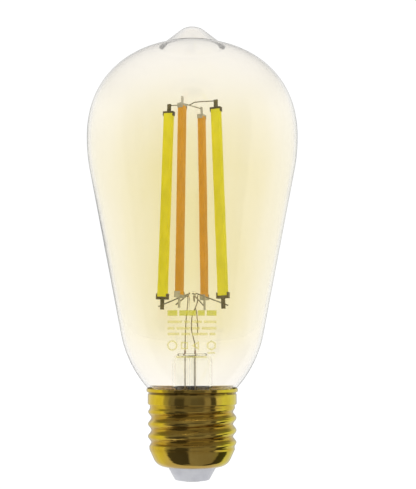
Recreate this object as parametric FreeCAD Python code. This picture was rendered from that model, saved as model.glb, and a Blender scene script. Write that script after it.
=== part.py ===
import FreeCAD, Part
import math
import os

from FreeCAD import Placement, Rotation, Vector

# A filament smart bulb with an E27 screw base, in millimetres.
# The origin is the centre of the contact's bottom face. +Z runs up the bulb's axis to the glass tip.
# +X is to the right and the front of the bulb faces -Y.

# ---- screw shell ----
THREAD_PITCH = 3.629     # seven turns to the inch
THREAD_MAJOR_R = 13.15
THREAD_DEPTH = 1.0
THREAD_FADE = 2.4        # length over which the thread runs in and out
THREAD_PHASE_Z = 18.49   # height of a crest at +X
THREAD_LOW_Z = 9.2       # bottom of the rolled thread
THREAD_HIGH_Z = 22.4     # top of the rolled thread
THREAD_MINOR_R = THREAD_MAJOR_R - THREAD_DEPTH
SHEET = 0.32             # sheet thickness
SHELL_STEP = 0.04        # the sheet is this much thicker each side where the thread meets it
COLLAR_R = THREAD_MAJOR_R + 0.1
COLLAR_BEND_R = 0.35     # lower edge of the collar
LIP_R = COLLAR_R + 0.37
LIP_BEND_R = 0.14        # both edges of the lip
RIM_Z = THREAD_HIGH_Z + 4.7
GROOVE_DEPTH = 0.2       # groove between the collar and the lip
GROOVE_LOW_Z = RIM_Z - 1.5
GROOVE_HIGH_Z = GROOVE_LOW_Z + 0.35
GROOVE_RAMP = 0.25
SHOULDER_SLOPE = 25.0    # degrees from vertical, below the thread
BOTTOM_BEND_R = 3.6
SHELL_FLOOR_Z = 4.3      # underside of the shell's floor
SHELL_HOLE_R = 7.35      # hole in the floor for the insulator

# ---- glass envelope ----
BULB_R = 32.0            # largest radius
BULB_Z = 102.85          # height of the largest circle
DOME_RISE = 29.14        # from the largest circle to the crown under the tip
DOME_POWER = 2.207       # exponent of the dome's superellipse
DOME_STEPS = 15          # points along the dome's curve
BELLY_R = 53.4           # arc just under the largest circle
THROAT_R = 34.0          # arc that closes in to the cap
THROAT_SLOPE = 42.0      # degrees from vertical where the glass enters the cap
GLASS_WALL = 0.95
CROWN_WALL = 0.45        # the blown wall thins towards the crown
NECK_R = THREAD_MINOR_R - SHEET - 1.13    # outside of the neck, with room for the cement
NECK_FILLET = 5.0        # hollow curve from the throat to the neck
NECK_Z = RIM_Z - 10.1    # bottom of the neck, sealed to the stem
TIP_Z = BULB_Z + DOME_RISE + 5.4          # top of the hollow tip, and the overall height
TIP_CROWN_R = 6.4        # radius of the tip's rounded top
TIP_SLOPE = 39.8         # degrees from horizontal on the tip's side
TIP_FILLET = 1.0         # between the tip and the dome
TIP_WALL = 1.3
TIP_RIDGE = 0.3          # rounding of the ridge inside, where the tip's hollow begins

# ---- insulator and contact ----
CONE_END_R = 5.05        # insulator cone at its lower end
CONE_END_Z = 0.35
CONE_EDGE_R = 0.25
FLANGE_TOP_Z = SHELL_FLOOR_Z + 1.3        # top of the insulator's flange inside the shell
CONTACT_R = 3.0
CONTACT_EDGE_R = 0.15
CONTACT_SHANK_R = 1.0
CONTACT_TOP_Z = FLANGE_TOP_Z + 0.4

# ---- stem ----
FLARE_R = 6.0            # outside radius of the flare tube
FLARE_WALL = 0.8
FLARE_FILLET = 2.9
FLARE_TOP_Z = NECK_Z + 20.5               # where the tube closes
FLARE_SHOULDER = 2.4     # rounding of the closed end
PRESS_TOP_Z = FLARE_TOP_Z + 1.5
PRESS_SIZE = (8.6, 4.6)
PRESS_EDGE = 1.2
TUBE_R = 1.5             # exhaust tube
TUBE_BORE = 0.8
ROD_R = 1.5              # lower, thick length of the rod
ROD_STEP_Z = PRESS_TOP_Z + 7.0
ROD_TAPER = 1.6
ROD_THIN_R = 0.95
BUTTON_R = 1.15
BUTTON_H = 1.4
BUTTON_EDGE = 0.3
BUTTON_TAPER = 0.6

# ---- driver cup and board ----
CUP_WALL = 0.95
CUP_FLOOR = 0.8
CUP_TOP_Z = NECK_Z - FLARE_WALL - 0.2
CUP_HOLE_R = 1.4
CUP_SLOT = 0.85          # width of the neutral wire's groove and notch
CUP_SLOT_DEPTH = 0.58
CUP_NOTCH = 1.2          # depth of the notch in the rim
RIB = (0.85, 1.2)        # radial and across size of the ribs under the board
BOARD_Z = NECK_Z - 5.8   # underside of the board
BOARD_T = 1.0
BOARD_GAP = 0.15         # between the board and the cup
BOARD_TOP_Z = BOARD_Z + BOARD_T
TUBE_TIP_Z = BOARD_TOP_Z + 1.2
RADIO_Z = BOARD_TOP_Z + 1.7               # underside of the radio board
RADIO_T = 0.8
RADIO_X = 5.6            # middle of the radio board
RADIO_SIZE = (5.6, 10.4)
RADIO_CHIP = (3.0, 3.0, 0.6)
CAN_SIZE = (5.0, 5.8, 1.1)
CAN_Y = -2.0
CAN_WALL = 0.15
PIN_W = 0.4
PIN_PITCH = 1.8
PINS_A_SIDE = 4
ANTENNA_TRACE = (0.35, 0.06)              # width and thickness
ANTENNA_RUNGS = 5
ANTENNA_PITCH = 0.8
PART_GAP = 0.3           # between tall parts and the cup's floor
BULK_CAN = (-4.4, -3.6, 3.15)             # x, y and radius
SMOOTHING_CAN = (4.2, -5.4, 2.0)
CAN_GROOVE_R = 0.22
CAN_GROOVE_DROP = 0.9    # from the board down to the rolled groove
CAN_EDGE_R = 0.3
CHOKE = (4.6, 2.8)
CHOKE_R = 2.6
CHOKE_POST_R = 1.2
CHOKE_FLANGE = 0.7
CHOKE_TURNS = 9
CHOKE_SUNK = 0.3         # the winding stops this far inside the flanges' rims
FUSE = (-4.2, 5.0)
FUSE_DROP = 1.6
FUSE_HALF = 2.2
FUSE_R = 0.95
FUSE_LEAD_R = 0.22
# body size, centre, legs on each side and their pitch
RECTIFIER = ((2.6, 4.0, 1.4), (1.3, 6.7), (2, 2), 2.2)
DRIVER_CHIP = ((3.0, 4.6, 1.3), (-6.0, -0.6), (4, 4), 1.1)
TRANSISTOR = ((1.2, 2.6, 0.9), (2, 1), 1.7)
TRANSISTOR_PLACES = ((-3.0, -6.6), (1.0, -6.6))
LEG_T = 0.15
LEG_REACH = 0.8
CHIP_RESISTOR = (1.5, 0.8, 0.5)
CHIP_CAPACITOR = (1.5, 0.8, 0.8)

# ---- filaments ----
RING_R_LOW = 9.85        # ring radius of the filament axes at their lower end
RING_R_HIGH = 7.78       # and at their upper end
PHOSPHOR_LOW_Z = ROD_STEP_Z + 8.65
PHOSPHOR_HIGH_Z = BULB_Z + 8.25
PHOSPHOR_W = 3.0
PHOSPHOR_T = 1.7
PHOSPHOR_EDGE = 0.32
STRIP_W = 1.0
STRIP_T = 0.4
STRIP_OUT = 0.45         # length of bare strip at each end
CHIP_COUNT = 28
CHIP_SIZE = (0.5, 0.14, 0.9)
CLIP_T = PHOSPHOR_T + 0.1
TAB_W = 1.3
TAB_T = 0.3
# width over the prongs, solid base past the phosphor, prong length, tab length
LOW_CLIP = (PHOSPHOR_W + 0.7, 0.85, 0.95, 3.05)
HIGH_CLIP = (PHOSPHOR_W + 0.4, 0.6, 0.8, 2.35)
FIRST_ANGLE = -22.5      # ring angle of the first filament
# channel and side of each filament, a quarter turn apart, starting at FIRST_ANGLE
FILAMENTS = ("cool_right", "warm_right", "cool_left", "warm_left")
BUTTON_LOW_Z = PHOSPHOR_LOW_Z - 0.05
STEM_TOP_Z = BUTTON_LOW_Z + BUTTON_H

# ---- wires ----
ARM_WIRE_R = 0.2
ARM_OVERHANG = 1.5       # length of the arm past the tab
ARM_START_Z = BUTTON_LOW_Z + 0.85
LINK_WIRE_R = 0.16
LINK_OVERHANG = 0.5
LINK_DROP = 0.35         # below the top of the tab
LINK_RISE = 0.3          # the warm link starts this far above the base of its tab
LINK_BEND_R = 0.6
# place along the cool link and height above its ends of each bend in its kink
LINK_KINK = ((-0.9, -0.45), (0.6, 0.2), (2.6, 0.25))
COMMON_R = 2.5           # where the common link joins its two arms
LEAD_R = 0.17
LEAD_BEND_R = 4.0
LEAD_END_R = 1.6         # where a lead meets its arm
LEAD_FOOT = 1.2          # straight length above the press
LEAD_HEAD = 2.0          # straight length below the arm
# where each lead passes the press, in plan
LEADS = {"cool": (0.85, -1.65), "warm": (0.95, 1.65), "common": (-2.15, 0.2)}
LEAD_ENDS = {"cool": "cool_right", "warm": "warm_right", "common": "cool_left"}
# bends beside the rod, with heights above the press
LEAD_BENDS = {
    "cool": ((-0.25, -1.85, 5.5), (-0.1, -1.75, 9.5)),
    "warm": ((1.75, 1.2, 6.0), (1.3, 1.15, 11.0)),
    "common": ((-1.9, 0.3, 8.0),),
}
SEAL_WALL = 0.1
SEAL_INSET = 0.6         # the glass-to-metal seal stops this far inside the press
NEUTRAL_WIRE_R = 0.25
NEUTRAL_BEND_R = 0.5
NEUTRAL_ANGLE = 135.0
NEUTRAL_FOOT_Z = THREAD_LOW_Z + 0.4
NEUTRAL_BOARD_R = 8.6
LIVE_WIRE_R = 0.3
SOLDER_R = 0.7
SOLDER_H = 0.5
SOLDER_EDGE = 0.08

# ---- fits ----
SLIP = 0.05              # between curved faces that fit
SEAT = 0.02              # between flat faces that are soldered or clamped
LINER_GAP = 0.15         # between the cup and the shell
GLASS_FIT = 0.1          # between the glass and the lip

THREAD_MEAN_R = (THREAD_MAJOR_R + THREAD_MINOR_R) / 2
FILAMENT_RISE = PHOSPHOR_HIGH_Z - PHOSPHOR_LOW_Z
FILAMENT_LEAN = math.atan2(RING_R_LOW - RING_R_HIGH, FILAMENT_RISE)
FILAMENT_LENGTH = math.hypot(FILAMENT_RISE, RING_R_LOW - RING_R_HIGH)


# ---------------------------------------------------------------- helpers
def polar(radius, angle, z=0.0):
    turn = math.radians(angle)
    return Vector(radius * math.cos(turn), radius * math.sin(turn), z)


def line(a, b):
    return Part.LineSegment(Vector(a[0], 0, a[1]), Vector(b[0], 0, b[1])).toShape()


def arc_about(centre, radius, start, end):
    """Arc in the XZ plane about a centre, angles in degrees from +X towards +Z."""
    def at(angle):
        turn = math.radians(angle)
        return Vector(centre[0] + radius * math.cos(turn), 0, centre[1] + radius * math.sin(turn))
    return Part.Arc(at(start), at((start + end) / 2), at(end)).toShape()


def lathe(edges):
    """Full turn about Z of a closed outline in the XZ plane."""
    face = Part.Face(Part.Wire(edges))
    solid = face.revolve(Vector(0, 0, 0), Vector(0, 0, 1), 360)
    return clean(solid)


def lathe_points(points):
    closed = list(points) + [points[0]]
    return lathe([line(a, b) for a, b in zip(closed, closed[1:])])


def clean(shape):
    """The shape as plain outward-facing solids."""
    solids = []
    for solid in shape.Solids:
        if solid.Volume < 0:
            solid = solid.reversed()
        solids.append(solid)
    return solids[0] if len(solids) == 1 else Part.makeCompound(solids)


def rod(a, b, radius):
    a, b = Vector(*a), Vector(*b)
    return Part.makeCylinder(radius, (b - a).Length, a, b - a)


def block(size, centre, bottom):
    """Box of a size, centred on a point in plan, standing on a height."""
    corner = Vector(centre[0] - size[0] / 2, centre[1] - size[1] / 2, bottom)
    return Part.makeBox(size[0], size[1], size[2], corner)


def bent_wire(points, radius, bend):
    """Round wire along straight runs joined by tangent arcs of one bend radius."""
    points = [Vector(*p) for p in points]
    edges = []
    start = points[0]
    for before, corner, after in zip(points, points[1:], points[2:]):
        back = (before - corner).normalize()
        ahead = (after - corner).normalize()
        half = math.acos(max(-1.0, min(1.0, back.dot(ahead)))) / 2
        reach = bend / math.tan(half)
        centre = corner + (back + ahead).normalize() * (bend / math.sin(half))
        a, b = corner + back * reach, corner + ahead * reach
        middle = centre + (corner - centre).normalize() * bend
        edges.append(Part.LineSegment(start, a).toShape())
        edges.append(Part.Arc(a, middle, b).toShape())
        start = b
    edges.append(Part.LineSegment(start, points[-1]).toShape())
    path = Part.Wire(edges)
    ring = Part.Wire(Part.Circle(points[0], points[1] - points[0], radius).toShape())
    return clean(path.makePipeShell([ring], True, True))


def rounded(shape, radius, picked):
    edges = [edge for edge in shape.Edges if picked(edge)]
    return clean(shape.makeFillet(radius, edges))


def is_circle_at(edge, z, radius=None, slack=0.02):
    curve = edge.Curve
    if not isinstance(curve, Part.Circle) or abs(curve.Center.z - z) > slack:
        return False
    return radius is None or abs(curve.Radius - radius) < slack


# ---------------------------------------------------------------- glass
def throat_centre():
    """Centre of the throat arc, from the point and slope at which the glass enters the lip."""
    slope = math.radians(THROAT_SLOPE)
    rim_r = LIP_R - SHEET - GLASS_FIT
    return rim_r - THROAT_R * math.cos(slope), RIM_Z + THROAT_R * math.sin(slope)


def taper_angle():
    """Angle from vertical of the straight that joins the belly arc to the throat arc."""
    cx, cz = throat_centre()
    dx, dz = BULB_R - BELLY_R - cx, BULB_Z - cz
    reach = math.hypot(dx, dz)
    return math.degrees(math.acos((THROAT_R - BELLY_R) / reach) - math.atan2(dz, dx))


def dome_curve(inset, drop):
    """The dome's superellipse, set in at the largest circle and lowered at the crown."""
    power = 2 / DOME_POWER
    points = []
    for step in range(DOME_STEPS + 1):
        turn = math.pi / 2 * step / DOME_STEPS
        radius = (BULB_R - inset) * math.cos(turn) ** power
        points.append(Vector(radius, 0, BULB_Z + (DOME_RISE - drop) * math.sin(turn) ** power))
    points[-1].x = 0
    curve = Part.BSplineCurve()
    curve.interpolate(Points=points, InitialTangent=Vector(0, 0, 1), FinalTangent=Vector(-1, 0, 0))
    return curve.toShape(), points[-1]


def tip_cone(inset):
    """The tip's rounded cone, set in by a wall thickness, down to its foot inside the dome."""
    slope = math.radians(TIP_SLOPE)
    crown_r = TIP_CROWN_R - inset
    crown_z = TIP_Z - TIP_CROWN_R
    edge_r = crown_r * math.sin(slope)
    edge_z = crown_z + crown_r * math.cos(slope)
    foot_z = BULB_Z + DOME_RISE - TIP_CROWN_R
    foot_r = edge_r + (edge_z - foot_z) / math.tan(slope)
    return lathe([
        line((0, foot_z), (foot_r, foot_z)),
        line((foot_r, foot_z), (edge_r, edge_z)),
        arc_about((0, crown_z), crown_r, 90 - TIP_SLOPE, 90),
        line((0, crown_z + crown_r), (0, foot_z)),
    ])


def lower_glass(inset):
    """Edges from the bottom of the neck up to the largest circle, set in by a wall thickness."""
    cx, cz = throat_centre()
    taper = taper_angle()
    neck = NECK_R - inset
    hollow = NECK_FILLET + inset
    throat = THROAT_R - inset
    belly = BELLY_R - inset
    hollow_x = NECK_R + NECK_FILLET
    end = math.degrees(math.acos((hollow_x - cx) / (THROAT_R + NECK_FILLET)))
    hollow_z = cz - (THROAT_R + NECK_FILLET) * math.sin(math.radians(end))
    belly_x = BULB_R - BELLY_R
    turn = math.radians(taper)
    low = (cx + throat * math.cos(turn), cz - throat * math.sin(turn))
    high = (belly_x + belly * math.cos(turn), BULB_Z - belly * math.sin(turn))
    return [
        line((neck, NECK_Z), (neck, hollow_z)),
        arc_about((hollow_x, hollow_z), hollow, 180, 180 - end),
        arc_about((cx, cz), throat, -end, -taper),
        line(low, high),
        arc_about((belly_x, BULB_Z), belly, -taper, 0),
    ]


def glass_envelope():
    outer_dome, crown = dome_curve(0, 0)
    outer = lower_glass(0) + [outer_dome]
    outer += [line((0, crown.z), (0, NECK_Z)), line((0, NECK_Z), (NECK_R, NECK_Z))]
    body = clean(lathe(outer).fuse(tip_cone(0)))
    body = rounded(body, TIP_FILLET, is_tip_seam)
    inner_dome, crown = dome_curve(GLASS_WALL, CROWN_WALL)
    neck = NECK_R - GLASS_WALL
    inner = lower_glass(GLASS_WALL)
    inner += [inner_dome, line((0, crown.z), (0, NECK_Z)), line((0, NECK_Z), (neck, NECK_Z))]
    hollow = clean(lathe(inner).fuse(tip_cone(TIP_WALL)))
    hollow = rounded(hollow, TIP_RIDGE, is_tip_seam)
    return clean(body.cut(hollow))


def is_tip_seam(edge):
    """The circle in which the tip's side meets the dome."""
    box = edge.BoundBox
    flat = box.ZMax - box.ZMin < 0.01 and box.XMax - box.XMin > 4
    return flat and BULB_Z + DOME_RISE * 0.9 < box.ZMin < BULB_Z + DOME_RISE + 1


def stem_flare():
    inner_r = FLARE_R - FLARE_WALL
    low_z = NECK_Z - FLARE_WALL
    bend = FLARE_R + FLARE_FILLET
    bend_z = NECK_Z + FLARE_FILLET
    top = FLARE_TOP_Z
    shoulder = FLARE_SHOULDER
    body = lathe([
        line((NECK_R, low_z), (NECK_R, NECK_Z)),
        line((NECK_R, NECK_Z), (bend, NECK_Z)),
        arc_about((bend, bend_z), FLARE_FILLET, 270, 180),
        line((FLARE_R, bend_z), (FLARE_R, top - shoulder)),
        arc_about((FLARE_R - shoulder, top - shoulder), shoulder, 0, 90),
        line((FLARE_R - shoulder, top), (0, top)),
        line((0, top), (0, top - FLARE_WALL)),
        line((0, top - FLARE_WALL), (FLARE_R - shoulder, top - FLARE_WALL)),
        arc_about((FLARE_R - shoulder, top - shoulder), shoulder - FLARE_WALL, 90, 0),
        line((inner_r, top - shoulder), (inner_r, bend_z)),
        arc_about((bend, bend_z), FLARE_FILLET + FLARE_WALL, 180, 270),
        line((bend, low_z), (NECK_R, low_z)),
    ])
    press_z = top - FLARE_WALL / 2
    press = block(PRESS_SIZE + (PRESS_TOP_Z - press_z,), (0, 0), press_z)
    press = rounded(press, PRESS_EDGE, lambda e: abs(e.tangentAt(e.FirstParameter).z) > 0.99)
    body = body.fuse(press)
    for x, y in LEADS.values():
        body = body.cut(rod((x, y, low_z), (x, y, PRESS_TOP_Z + 1), LEAD_R + SLIP + SEAL_WALL))
    return clean(body.removeSplitter())


def exhaust_tube():
    """Open at its top in the closed end of the flare, and drawn shut at its lower end."""
    top = FLARE_TOP_Z - FLARE_WALL
    bore_foot = TUBE_TIP_Z + 2 * TUBE_R
    return lathe([
        arc_about((0, TUBE_TIP_Z + TUBE_R), TUBE_R, -90, 0),
        line((TUBE_R, TUBE_TIP_Z + TUBE_R), (TUBE_R, top)),
        line((TUBE_R, top), (TUBE_BORE, top)),
        line((TUBE_BORE, top), (TUBE_BORE, bore_foot)),
        line((TUBE_BORE, bore_foot), (0, bore_foot)),
        line((0, bore_foot), (0, TUBE_TIP_Z)),
    ])


def stem_rod():
    neck_z = BUTTON_LOW_Z - BUTTON_TAPER
    body = lathe_points([
        (0, PRESS_TOP_Z),
        (ROD_R, PRESS_TOP_Z),
        (ROD_R, ROD_STEP_Z),
        (ROD_THIN_R, ROD_STEP_Z + ROD_TAPER),
        (ROD_THIN_R, neck_z),
        (BUTTON_R, BUTTON_LOW_Z),
        (BUTTON_R, STEM_TOP_Z),
        (0, STEM_TOP_Z),
    ])
    return rounded(body, BUTTON_EDGE, lambda e: is_circle_at(e, STEM_TOP_Z))


# ---------------------------------------------------------------- filaments
def ring_angle(name):
    return FIRST_ANGLE + 90 * FILAMENTS.index(name)


def set_on_ring(shape, name):
    """Move a shape built round the upright Z axis, phosphor foot at zero, to its place on the ring."""
    lean = Rotation(Vector(0, 1, 0), -math.degrees(FILAMENT_LEAN))
    shape = shape.copy()
    shape.Placement = Placement(Vector(RING_R_LOW, 0, PHOSPHOR_LOW_Z), lean).multiply(shape.Placement)
    turn = Placement(Vector(0, 0, 0), Rotation(Vector(0, 0, 1), ring_angle(name)))
    shape.Placement = turn.multiply(shape.Placement)
    return shape


def filament_strip(name):
    length = FILAMENT_LENGTH + 2 * STRIP_OUT
    return set_on_ring(block((STRIP_W, STRIP_T, length), (0, 0), -STRIP_OUT), name)


def filament_chips(name):
    """The row of light-emitting chips on one face of the strip."""
    pitch = FILAMENT_LENGTH / CHIP_COUNT
    across = STRIP_T / 2 + CHIP_SIZE[1] / 2
    chips = []
    for count in range(CHIP_COUNT):
        foot = pitch * (count + 0.5) - CHIP_SIZE[2] / 2
        chips.append(set_on_ring(block(CHIP_SIZE, (0, across), foot), name))
    return Part.makeCompound(chips)


def filament_phosphor(name):
    """Rounded coat with a channel for the strip and its chips."""
    body = block((PHOSPHOR_W, PHOSPHOR_T, FILAMENT_LENGTH), (0, 0), 0)
    body = rounded(body, PHOSPHOR_EDGE, lambda e: abs(e.tangentAt(e.FirstParameter).z) > 0.99)
    long = FILAMENT_LENGTH + 1
    strip = block((STRIP_W + 2 * SEAT, STRIP_T + 2 * SEAT, long), (0, 0), -0.5)
    high = STRIP_T / 2 + CHIP_SIZE[1] + SEAT
    pitch = FILAMENT_LENGTH / CHIP_COUNT
    first = (pitch - CHIP_SIZE[2]) / 2 - SEAT
    row = block((CHIP_SIZE[0] + 2 * SEAT, high, FILAMENT_LENGTH - 2 * first), (0, high / 2), first)
    return set_on_ring(clean(body.cut(strip.fuse(row))), name)


def clip_body(size):
    """End clip with two prongs beside the phosphor, a slot for the strip and a tab pointing down."""
    width, base, prong, tab = size
    body = block((width, CLIP_T, base + prong), (0, 0), -base)
    body = body.cut(block((PHOSPHOR_W + 2 * SEAT, CLIP_T + 1, prong + 1), (0, 0), -SEAT))
    slot = (STRIP_W + 2 * SEAT, STRIP_T + 2 * SEAT, STRIP_OUT + SEAT)
    body = body.cut(block(slot, (0, 0), -STRIP_OUT - SEAT))
    body = body.fuse(block((TAB_W, TAB_T, tab), (0, 0), -base - tab))
    return clean(body.removeSplitter())


def bottom_clip(name):
    return set_on_ring(clip_body(LOW_CLIP), name)


def top_clip(name):
    body = clip_body(HIGH_CLIP)
    over = Rotation(Vector(1, 0, 0), 180)
    body.Placement = Placement(Vector(0, 0, FILAMENT_LENGTH), over)
    return set_on_ring(body, name)


# ---------------------------------------------------------------- wires in the bulb
def ring_point(name, radius, across, z):
    """Point at a radius along a filament's ring direction, moved across it."""
    return polar(radius, ring_angle(name), z) + polar(across, ring_angle(name) + 90)


def arm_side(name):
    """Arms pass behind the tabs: on the counter-clockwise side of the right-hand filaments."""
    return 1 if name.endswith("right") else -1


def arm_z(radius):
    """Height of the arms' centre line: from the stem's button down across the middle of the tabs."""
    width, base, prong, tab = LOW_CLIP
    tab_z = PHOSPHOR_LOW_Z - base - tab / 2
    start_r = BUTTON_R + SLIP
    fall = (ARM_START_Z - tab_z) / (RING_R_LOW - start_r)
    return ARM_START_Z - fall * (radius - start_r)


def arm_point(name, radius):
    across = arm_side(name) * (TAB_T / 2 + ARM_WIRE_R + SEAT)
    return ring_point(name, radius, across, arm_z(radius))


def support_arm(name):
    """Straight wire from the stem's button past the tab of a filament's lower clip."""
    return rod(arm_point(name, BUTTON_R + SLIP), arm_point(name, RING_R_LOW + ARM_OVERHANG), ARM_WIRE_R)


def under_arm(name, radius, wire_r):
    point = arm_point(name, radius)
    point.z -= ARM_WIRE_R + wire_r + SEAT
    return point


def common_link():
    """Joins the arms of the two left filaments, which share one lead."""
    a = under_arm("cool_left", COMMON_R, LINK_WIRE_R)
    b = under_arm("warm_left", COMMON_R, LINK_WIRE_R)
    middle = (a + b) * 0.5
    out = Vector(middle.x, middle.y, 0).normalize()
    middle += out * COMMON_R / 2 - Vector(0, 0, LINK_WIRE_R * 2)
    return bent_wire([a, middle, b], LINK_WIRE_R, LINK_BEND_R)


def tab_top_z():
    width, base, prong, tab = HIGH_CLIP
    return PHOSPHOR_HIGH_Z + base + tab


def top_link_cool():
    """Thin wire over the axis that joins the cool pair, with a small kink near its middle."""
    across = TAB_T / 2 + LINK_WIRE_R + SEAT
    z = tab_top_z() - LINK_DROP
    end = RING_R_HIGH + LINK_OVERHANG
    bends = ((-end, 0),) + LINK_KINK + ((end, 0),)
    points = [ring_point("cool_right", radius, across, z + rise) for radius, rise in bends]
    return bent_wire(points, LINK_WIRE_R, LINK_BEND_R)


def top_link_warm():
    across = TAB_T / 2 + LINK_WIRE_R + SEAT
    end = RING_R_HIGH + LINK_OVERHANG
    high = tab_top_z() - LINK_DROP
    low = tab_top_z() - HIGH_CLIP[3] + LINK_RISE
    near = ring_point("warm_right", -end, across, low)
    far = ring_point("warm_right", end, across, high)
    return rod(far, near, LINK_WIRE_R)


def lead(channel):
    """Lead from the board through the press and along the rod to the underside of its arm."""
    x, y = LEADS[channel]
    top = PRESS_TOP_Z
    end = under_arm(LEAD_ENDS[channel], LEAD_END_R, LEAD_R)
    points = [(x, y, BOARD_TOP_Z), (x, y, top + LEAD_FOOT)]
    points += [(bend[0], bend[1], top + bend[2]) for bend in LEAD_BENDS[channel]]
    points += [(end.x, end.y, end.z - LEAD_HEAD), end]
    return bent_wire(points, LEAD_R, LEAD_BEND_R)


def lead_seals():
    """The sleeves that seal to the glass where the leads pass the press."""
    sleeves = []
    for x, y in LEADS.values():
        low = Vector(x, y, FLARE_TOP_Z - FLARE_WALL + SEAL_INSET)
        high = Vector(x, y, PRESS_TOP_Z - SEAL_INSET)
        sleeve = rod(low, high, LEAD_R + SEAL_WALL + SEAT).cut(rod(low, high, LEAD_R + SEAT))
        sleeves.append(clean(sleeve))
    return Part.makeCompound(sleeves)


# ---------------------------------------------------------------- screw shell
def fade(z):
    """Thread height factor: full in the middle, run out smoothly at both ends."""
    near = min(z - THREAD_LOW_Z, THREAD_HIGH_Z - z) / THREAD_FADE
    near = max(0.0, min(1.0, near))
    return near * near * (3 - 2 * near)


def thread_face(inset):
    """The rolled thread's surface: a right-hand wave round the mean radius."""
    around = 64
    rows = 44
    wave = (THREAD_MAJOR_R - THREAD_MINOR_R) / 2
    grid = []
    for row in range(rows + 1):
        z = THREAD_LOW_Z + (THREAD_HIGH_Z - THREAD_LOW_Z) * row / rows
        ring = []
        for step in range(around + 1):
            turn = math.pi / 2 + 2 * math.pi * (step % around) / around
            phase = 2 * math.pi * (z - THREAD_PHASE_Z) / THREAD_PITCH - turn
            radius = THREAD_MEAN_R - inset + wave * fade(z) * math.cos(phase)
            ring.append(Vector(radius * math.cos(turn), radius * math.sin(turn), z))
        grid.append(ring)
    surface = Part.BSplineSurface()
    surface.interpolate(grid)
    return surface.toShape()


def threaded_tube():
    outer, inner = thread_face(0), thread_face(SHEET)

    def rim(face, z):
        edges = []
        for edge in face.Edges:
            box = edge.BoundBox
            if abs(box.ZMin - z) < 0.01 and abs(box.ZMax - z) < 0.01:
                edges.append(edge)
        return Part.Wire(edges)

    ends = []
    for z in (THREAD_LOW_Z, THREAD_HIGH_Z):
        ends.append(Part.makeFace([rim(outer, z), rim(inner, z)], "Part::FaceMakerBullseye"))
    shell = Part.Shell([outer, inner] + ends)
    shell.sewShape()
    return clean(Part.Solid(shell))


def shoulder():
    """Centre of the bottom bend and the angle of its end, where the sloping shoulder starts."""
    slope = math.radians(SHOULDER_SLOPE)
    cz = SHELL_FLOOR_Z + BOTTOM_BEND_R
    foot_z = cz - BOTTOM_BEND_R * math.sin(slope)
    foot_r = THREAD_MEAN_R + SHELL_STEP - (THREAD_LOW_Z - foot_z) * math.tan(slope)
    return foot_r - BOTTOM_BEND_R * math.cos(slope), cz


def shell_bottom():
    cx, cz = shoulder()
    slope = math.radians(SHOULDER_SLOPE)
    inner = BOTTOM_BEND_R - SHEET
    out_r, in_r = THREAD_MEAN_R + SHELL_STEP, THREAD_MEAN_R - SHEET - SHELL_STEP
    out_foot = (cx + BOTTOM_BEND_R * math.cos(slope), cz - BOTTOM_BEND_R * math.sin(slope))
    in_foot = (cx + inner * math.cos(slope), cz - inner * math.sin(slope))
    floor = SHELL_FLOOR_Z + SHEET
    return lathe([
        line((in_r, THREAD_LOW_Z), (out_r, THREAD_LOW_Z)),
        line((out_r, THREAD_LOW_Z), out_foot),
        arc_about((cx, cz), BOTTOM_BEND_R, -SHOULDER_SLOPE, -90),
        line((cx, SHELL_FLOOR_Z), (SHELL_HOLE_R, SHELL_FLOOR_Z)),
        line((SHELL_HOLE_R, SHELL_FLOOR_Z), (SHELL_HOLE_R, floor)),
        line((SHELL_HOLE_R, floor), (cx, floor)),
        arc_about((cx, cz), inner, -90, -SHOULDER_SLOPE),
        line(in_foot, (in_r, THREAD_LOW_Z)),
    ])


def shell_collar():
    groove_r = COLLAR_R - GROOVE_DEPTH
    outside = [
        (COLLAR_R, THREAD_HIGH_Z),
        (COLLAR_R, GROOVE_LOW_Z - GROOVE_RAMP),
        (groove_r, GROOVE_LOW_Z),
        (groove_r, GROOVE_HIGH_Z),
        (LIP_R, GROOVE_HIGH_Z + GROOVE_RAMP),
        (LIP_R, RIM_Z),
    ]
    inside = [(r - SHEET, z) for r, z in reversed(outside[1:])]
    in_r = THREAD_MEAN_R - SHEET - SHELL_STEP
    ledge_z = THREAD_HIGH_Z + SHEET
    inside += [(COLLAR_R - SHEET, ledge_z), (in_r, ledge_z), (in_r, THREAD_HIGH_Z)]
    body = lathe_points(outside + inside)
    body = rounded(body, COLLAR_BEND_R, lambda e: is_circle_at(e, THREAD_HIGH_Z, COLLAR_R))
    lip_z = GROOVE_HIGH_Z + GROOVE_RAMP
    body = rounded(body, LIP_BEND_R, lambda e: is_circle_at(e, RIM_Z, LIP_R))
    return rounded(body, LIP_BEND_R, lambda e: is_circle_at(e, lip_z, LIP_R))


def screw_shell():
    body = threaded_tube().fuse([shell_bottom(), shell_collar()])
    return clean(body)


# ---------------------------------------------------------------- insulator, contact, cup, cement
def shell_inside(z):
    """Smallest inside radius of the shell at a height."""
    cx, cz = shoulder()
    slope = math.radians(SHOULDER_SLOPE)
    inner = BOTTOM_BEND_R - SHEET
    foot_z = cz - inner * math.sin(slope)
    root = THREAD_MINOR_R - SHEET
    if z >= foot_z:
        return min(root, cx + inner * math.cos(slope) + (z - foot_z) * math.tan(slope) * 0.8)
    return cx + math.sqrt(inner ** 2 - (cz - z) ** 2)


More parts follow.
